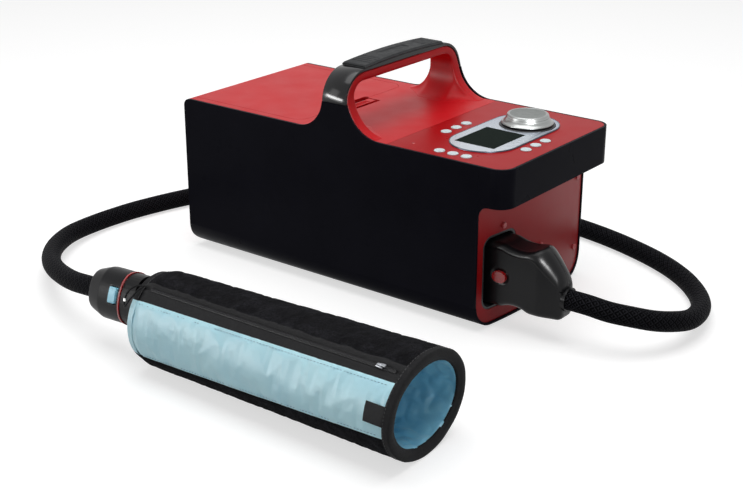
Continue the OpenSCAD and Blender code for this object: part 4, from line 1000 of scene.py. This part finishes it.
# edge bindings: a folded band sewn round each end
def binding(name, end, width, seed):
    n, prof = 220, []
    for t in range(21):  # over the outside, round the end, down the inside
        s = t / 20
        if s < 0.42:
            prof.append((width * (1 - s / 0.42), 0.95))
        elif s < 0.62:
            a = math.pi * (s - 0.42) / 0.2
            prof.append((-0.9 * math.sin(a), -2.6 + 3.55 * math.cos(a)))
        else:
            prof.append((3.2 * (s - 0.62) / 0.38, -6.6 - 2.6 * ease(0.62, 0.74, s)))
    verts, uvs_at = [], []
    for k in range(n):
        phi = 360 * k / n
        cs, sn = math.cos(math.radians(phi)), math.sin(math.radians(phi))
        wob = 0.9 * rnd(cs * 1.6, sn * 1.6, seed) + 0.35 * rnd(cs * 5, sn * 5, seed + 3)
        low_side = max(0.0, -sn)
        for j, (d, lift) in enumerate(prof):
            along = d + 0.6 * rnd(cs * 3, sn * 3, seed + 9) if j < 3 else d
            x = along if end == 0 else S_L - along
            x += (0.8 * rnd(cs * 2.2, sn * 2.2, seed + 6)) * (1 if end == 0 else -1) * (1 if d < 3 else 0.2)
            x = min(max(x, -0.6), S_L + 0.9)
            edge_roll = 0.35 * (1 - ease(0, 1.5, abs(d - width * 0.94))) if lift > 0 else 0
            rise = lift + edge_roll * -0.9 + (0.35 * wob if lift > -3 else 0.2 * wob)
            rise += 0.16 * rnd(phi * 0.35, d * 0.3, seed + 4)
            if lift > 0:  # stitch line
                rise -= 0.3 * (1 - ease(0.2, 0.9, abs(d - width * 0.78)))
            if low_side > 0.85:
                rise = min(rise, 0.95)
            m = gather(x, 3.3) if end == 0 else 0
            verts.append(sleeve_point(x, phi, rise - m))
            uvs_at.append((j * 0.0012, phi * PER_DEG * MM))
    P = len(prof)
    faces = grid_faces(n, P, wrap_u=True, flip=(end == 1))
    uvs = [[uvs_at[v] for v in f] for f in faces]
    pale_marks = [int(end == 0 and f[0] % P < 13 and 139 < 360 * (f[0] // P) / n < 211.5) for f in faces]
    o = mesh_piece(name, verts, faces, [M["binding"], M["pale"]], pale_marks, uvs)
    thicken(o, 0.4, offset=0)
    sub = o.modifiers.new("smooth", "SUBSURF")
    sub.levels = sub.render_levels = 1
    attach(o, "sleeve")
    return o


band_a = binding("binding_hose_end", 0, 7.0, 2.0)
band_b = binding("binding_open_end", 1, 6.5, 6.0)
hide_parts("sleeve_bindings")


def stitches(name, spots, mat, length=2.1, r=0.28):
    """Short lock stitches: spots are (point, direction, outward) in metres."""
    verts, faces = [], []
    for p, d, up in spots:
        d, up = d.normalized(), up.normalized()
        side = d.cross(up).normalized()
        base = len(verts)
        for s, k in ((-0.5, 0.35), (-0.32, 1.0), (0, 1.15), (0.32, 1.0), (0.5, 0.35)):
            for a in range(6):
                t = math.pi * a / 3
                verts.append(p + d * s * length * MM + (side * math.cos(t) + up * math.sin(t)) * r * k * MM)
        for row in range(4):
            for a in range(6):
                b = (a + 1) % 6
                faces.append((base + row * 6 + a, base + row * 6 + b, base + (row + 1) * 6 + b,
                              base + (row + 1) * 6 + a))
        faces.append(tuple(base + a for a in reversed(range(6))))
        faces.append(tuple(base + 24 + a for a in range(6)))
    return mesh_piece(name, verts, faces, mat)


def surface(x, phi, lift):
    p = sleeve_point(x, phi, lift)
    e = sleeve_point(x + 1, phi, lift)
    f = sleeve_point(x, phi + 1, lift)
    return p, (e - p).normalized(), (f - p).normalized(), (e - p).cross(f - p).normalized()


spots = []
for line in (lambda x: panel_top(x) + 3.4 / PER_DEG, lambda x: panel_low(x) - 3.4 / PER_DEG):
    x = 12.0
    while x < S_L - 12:
        p, dx, dp, up = surface(x, line(x), 0.15)
        spots.append((p, dx, up if up.dot(p - sleeve_point(x, 0, -44)) > 0 else -up))
        x += 3.4
pale_line = stitches("panel_stitching", spots, M["pale_thread"], 2.4, 0.25)
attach(pale_line, "sleeve")
spots = []
for k in [q for q in range(96) if math.sin(math.radians(q * 3.75)) > -0.93]:
    p, dx, dp, up = surface(S_L - 5.3, k * 3.75, 1.1)
    spots.append((p, dp, up))
    if not 138 < k * 3.75 < 213:
        p, dx, dp, up = surface(6.4, k * 3.75, 1.1 - gather(6.4, 3.3))
        spots.append((p, dp, up))
hem_line = stitches("hem_stitching", spots, M["thread"], 2.2, 0.3)
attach(hem_line, "sleeve")

# zip: two rows of coil that mesh under the flap, from the hose end to the slider's stop
TOOTH = ((-1.15, -0.35), (1.15, -0.35), (1.25, 0.15), (0.75, 0.55), (-0.75, 0.55), (-1.25, 0.15))
TOOTH_PITCH = 1.35
verts, faces = [], []
x = 17.0
while x < 286:
    for sgn in (-1, 1):
        mid = ZIP + 0.4 + sgn * 0.75
        p, dx, dp, up = surface(x + (0.65 if sgn > 0 else 0), mid, 0.55 - gather(x, 3.0))
        up = -up if up.dot(p - sleeve_point(x, 0, -44)) < 0 else up
        base = len(verts)
        for a in (-0.42, 0.42):
            for b, c in TOOTH:
                verts.append(p + dx * a * MM + dp * b * MM + up * c * MM)
        faces += [(base + k, base + (k + 1) % 6, base + 6 + (k + 1) % 6, base + 6 + k) for k in range(6)]
        faces += [tuple(base + k for k in reversed(range(6))), tuple(base + 6 + k for k in range(6))]
    x += TOOTH_PITCH
coil = mesh_piece("zip_coil", verts, faces, M["coil"], smooth=False)
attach(coil, "sleeve")


# zip slider: shield, bridge and a small pull
def zip_pull():
    verts, faces = [], []

    def block(x0, x1, w0, w1, l0, l1, cut=0.5):
        base = len(verts)
        for lift, c in ((l0, 0), (l1 - cut, 0), (l1, cut)):
            for x, w in ((x0 + c, w0 - c), (x1 - c, w1 - c)):
                for sgn in (-1, 1):
                    p, dx, dp, up = surface(x, ZIP, lift)
                    verts.append(p + dp * sgn * w * MM)
        for k in (0, 4):
            b = base + k
            faces.extend([(b, b + 1, b + 5, b + 4), (b + 1, b + 3, b + 7, b + 5),
                          (b + 3, b + 2, b + 6, b + 7), (b + 2, b, b + 4, b + 6)])
        faces.extend([(base, base + 2, base + 3, base + 1), (base + 8, base + 9, base + 11, base + 10)])

    block(267.5, 274.5, 1.9, 2.7, 0.9, 2.2)
    block(269.0, 273.0, 0.7, 0.7, 2.2, 3.4, 0.3)
    block(272.0, 277.0, 1.0, 1.4, 3.0, 3.9, 0.35)
    o = mesh_piece("zip_pull", verts, faces, M["slider"], smooth=False)
    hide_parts("zip_slider")
    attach(o, "zip")


zip_pull()


# pull cord of the zip, hanging in a loop over the port
CORD_LOOP = ((8, 121, 1.6), (3, 123, 2.6), (-2, 127, 2.4), (-6.5, 133, 0.6), (-8.5, 140, -1.2),
             (-8.0, 147, -2.0), (-5.0, 151, -0.6), (-1.8, 149, 1.9), (0.8, 143, 2.6), (3.2, 135, 2.7),
             (5.2, 128, 2.5))
loop = [sleeve_point(*q) for q in CORD_LOOP]
cordlet = tube("zip_cord", spline(loop + [loop[0]], per=7)[:-1], 0.00085, M["binding"], sides=12, closed=True)
crimp_line = spline([sleeve_point(-8.4, 141.5, -1.3), sleeve_point(-8.1, 145.5, -1.9)], per=4)
crimp = tube("zip_cord_end", crimp_line, 0.0015, M["steel"], sides=16)


# blank side tag, a thin patch on the cover by the hem
def patch(name, x0, x1, p0, p1, lift, thick, mat, wave_seed):
    verts, nu, nv = [], 18, 26
    for i in range(nu + 1):
        for k in range(nv + 1):
            x, phi = x0 + (x1 - x0) * i / nu, p0 + (p1 - p0) * k / nv
            edge = min(i, nu - i, k, nv - k)
            rise = lift + 0.12 * rnd(x * 0.2, phi * 0.1, wave_seed) + (thick if edge > 0 else 0)
            if edge == 1:
                rise += 0.12
            verts.append(sleeve_point(x, phi, rise))
    return mesh_piece(name, verts, grid_faces(nu + 1, nv + 1), mat)


tag = patch("blank_tag", 273.5, 292.5, 155.6, 176.2, 1.7, 0.7, M["tape"], 3.0)
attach(tag, "sleeve")
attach(cordlet, "sleeve")
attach(crimp, "sleeve")

# --- stage: pale floor that stays white to the camera and keeps its shadows
def node(tree, kind, *wires, **values):
    """A shader node of the kind, with its first inputs wired and the named ones set."""
    n = tree.nodes.new("ShaderNode" + kind)
    for k, socket in enumerate(wires):
        tree.links.new(socket, n.inputs[k])
    for k, v in values.items():
        n.inputs[k].default_value = v
    return n


def seen_strength(tree, extra, base):
    """A base strength, with the extra for rays that show the background itself."""
    rays = node(tree, "LightPath")
    level = rays.outputs["Is Camera Ray"]
    for kind in ("Is Glossy Ray", "Is Transmission Ray"):
        either = node(tree, "Math", level, rays.outputs[kind])
        either.operation = "MAXIMUM"
        level = either.outputs[0]
    strength = node(tree, "Math", level)
    strength.operation = "MULTIPLY_ADD"
    strength.inputs[1].default_value, strength.inputs[2].default_value = extra, base
    return strength.outputs[0]


FLOOR_HALF, FLOOR_Z = 6, -0.0002
corners = [(x * FLOOR_HALF, y * FLOOR_HALF, FLOOR_Z) for x, y in ((-1, -1), (1, -1), (1, 1), (-1, 1))]
floor_me = bpy.data.meshes.new("floor")
floor_me.from_pydata(corners, [], [(0, 1, 2, 3)])
floor = link("floor", floor_me)
fm = bpy.data.materials.new("floor white")
fm.use_nodes = True
ft = fm.node_tree
ft.nodes.clear()
diff = node(ft, "BsdfDiffuse", Color=(0.56, 0.56, 0.56, 1))
emit = node(ft, "Emission", Color=(1, 1, 1, 1))
ft.links.new(seen_strength(ft, 0.64, 0.0), emit.inputs["Strength"])
add = node(ft, "AddShader", diff.outputs[0], emit.outputs[0])
node(ft, "OutputMaterial", add.outputs[0])
floor_me.materials.append(fm)

world = bpy.data.worlds.new("studio")
scene.world = world
world.use_nodes = True
wt = world.node_tree
wt.nodes.clear()
bg = node(wt, "Background", Color=(1, 1, 1, 1))
wt.links.new(seen_strength(wt, 0.72, 0.28), bg.inputs["Strength"])
node(wt, "OutputWorld", bg.outputs[0])


def lamp(name, where, at, size, power, size_y=None):
    d = bpy.data.lights.new(name, "AREA")
    d.shape, d.size, d.size_y, d.energy = "RECTANGLE", size, size_y or size, power
    o = link(name, d)
    o.location = where
    o.rotation_euler = (Vector(at) - Vector(where)).to_track_quat("-Z", "Y").to_euler()
    return o


lamp("key", (0.0, -0.1, 1.7), (0, -0.05, 0.1), 1.5, 21)
lamp("fill", (-1.3, -1.6, 0.9), (0.0, -0.2, 0.05), 0.6, 2.0)
for strip in (lamp("strip", (-1.2, -1.7, 0.38), (0.05, -0.1, 0.2), 1.2, 27, 0.20),
              lamp("edge", (1.0, -0.7, 0.75), (0.23, -0.08, 0.07), 0.36, 22, 0.12)):
    strip.visible_diffuse = False  # seen in the gloss of dark mouldings alone
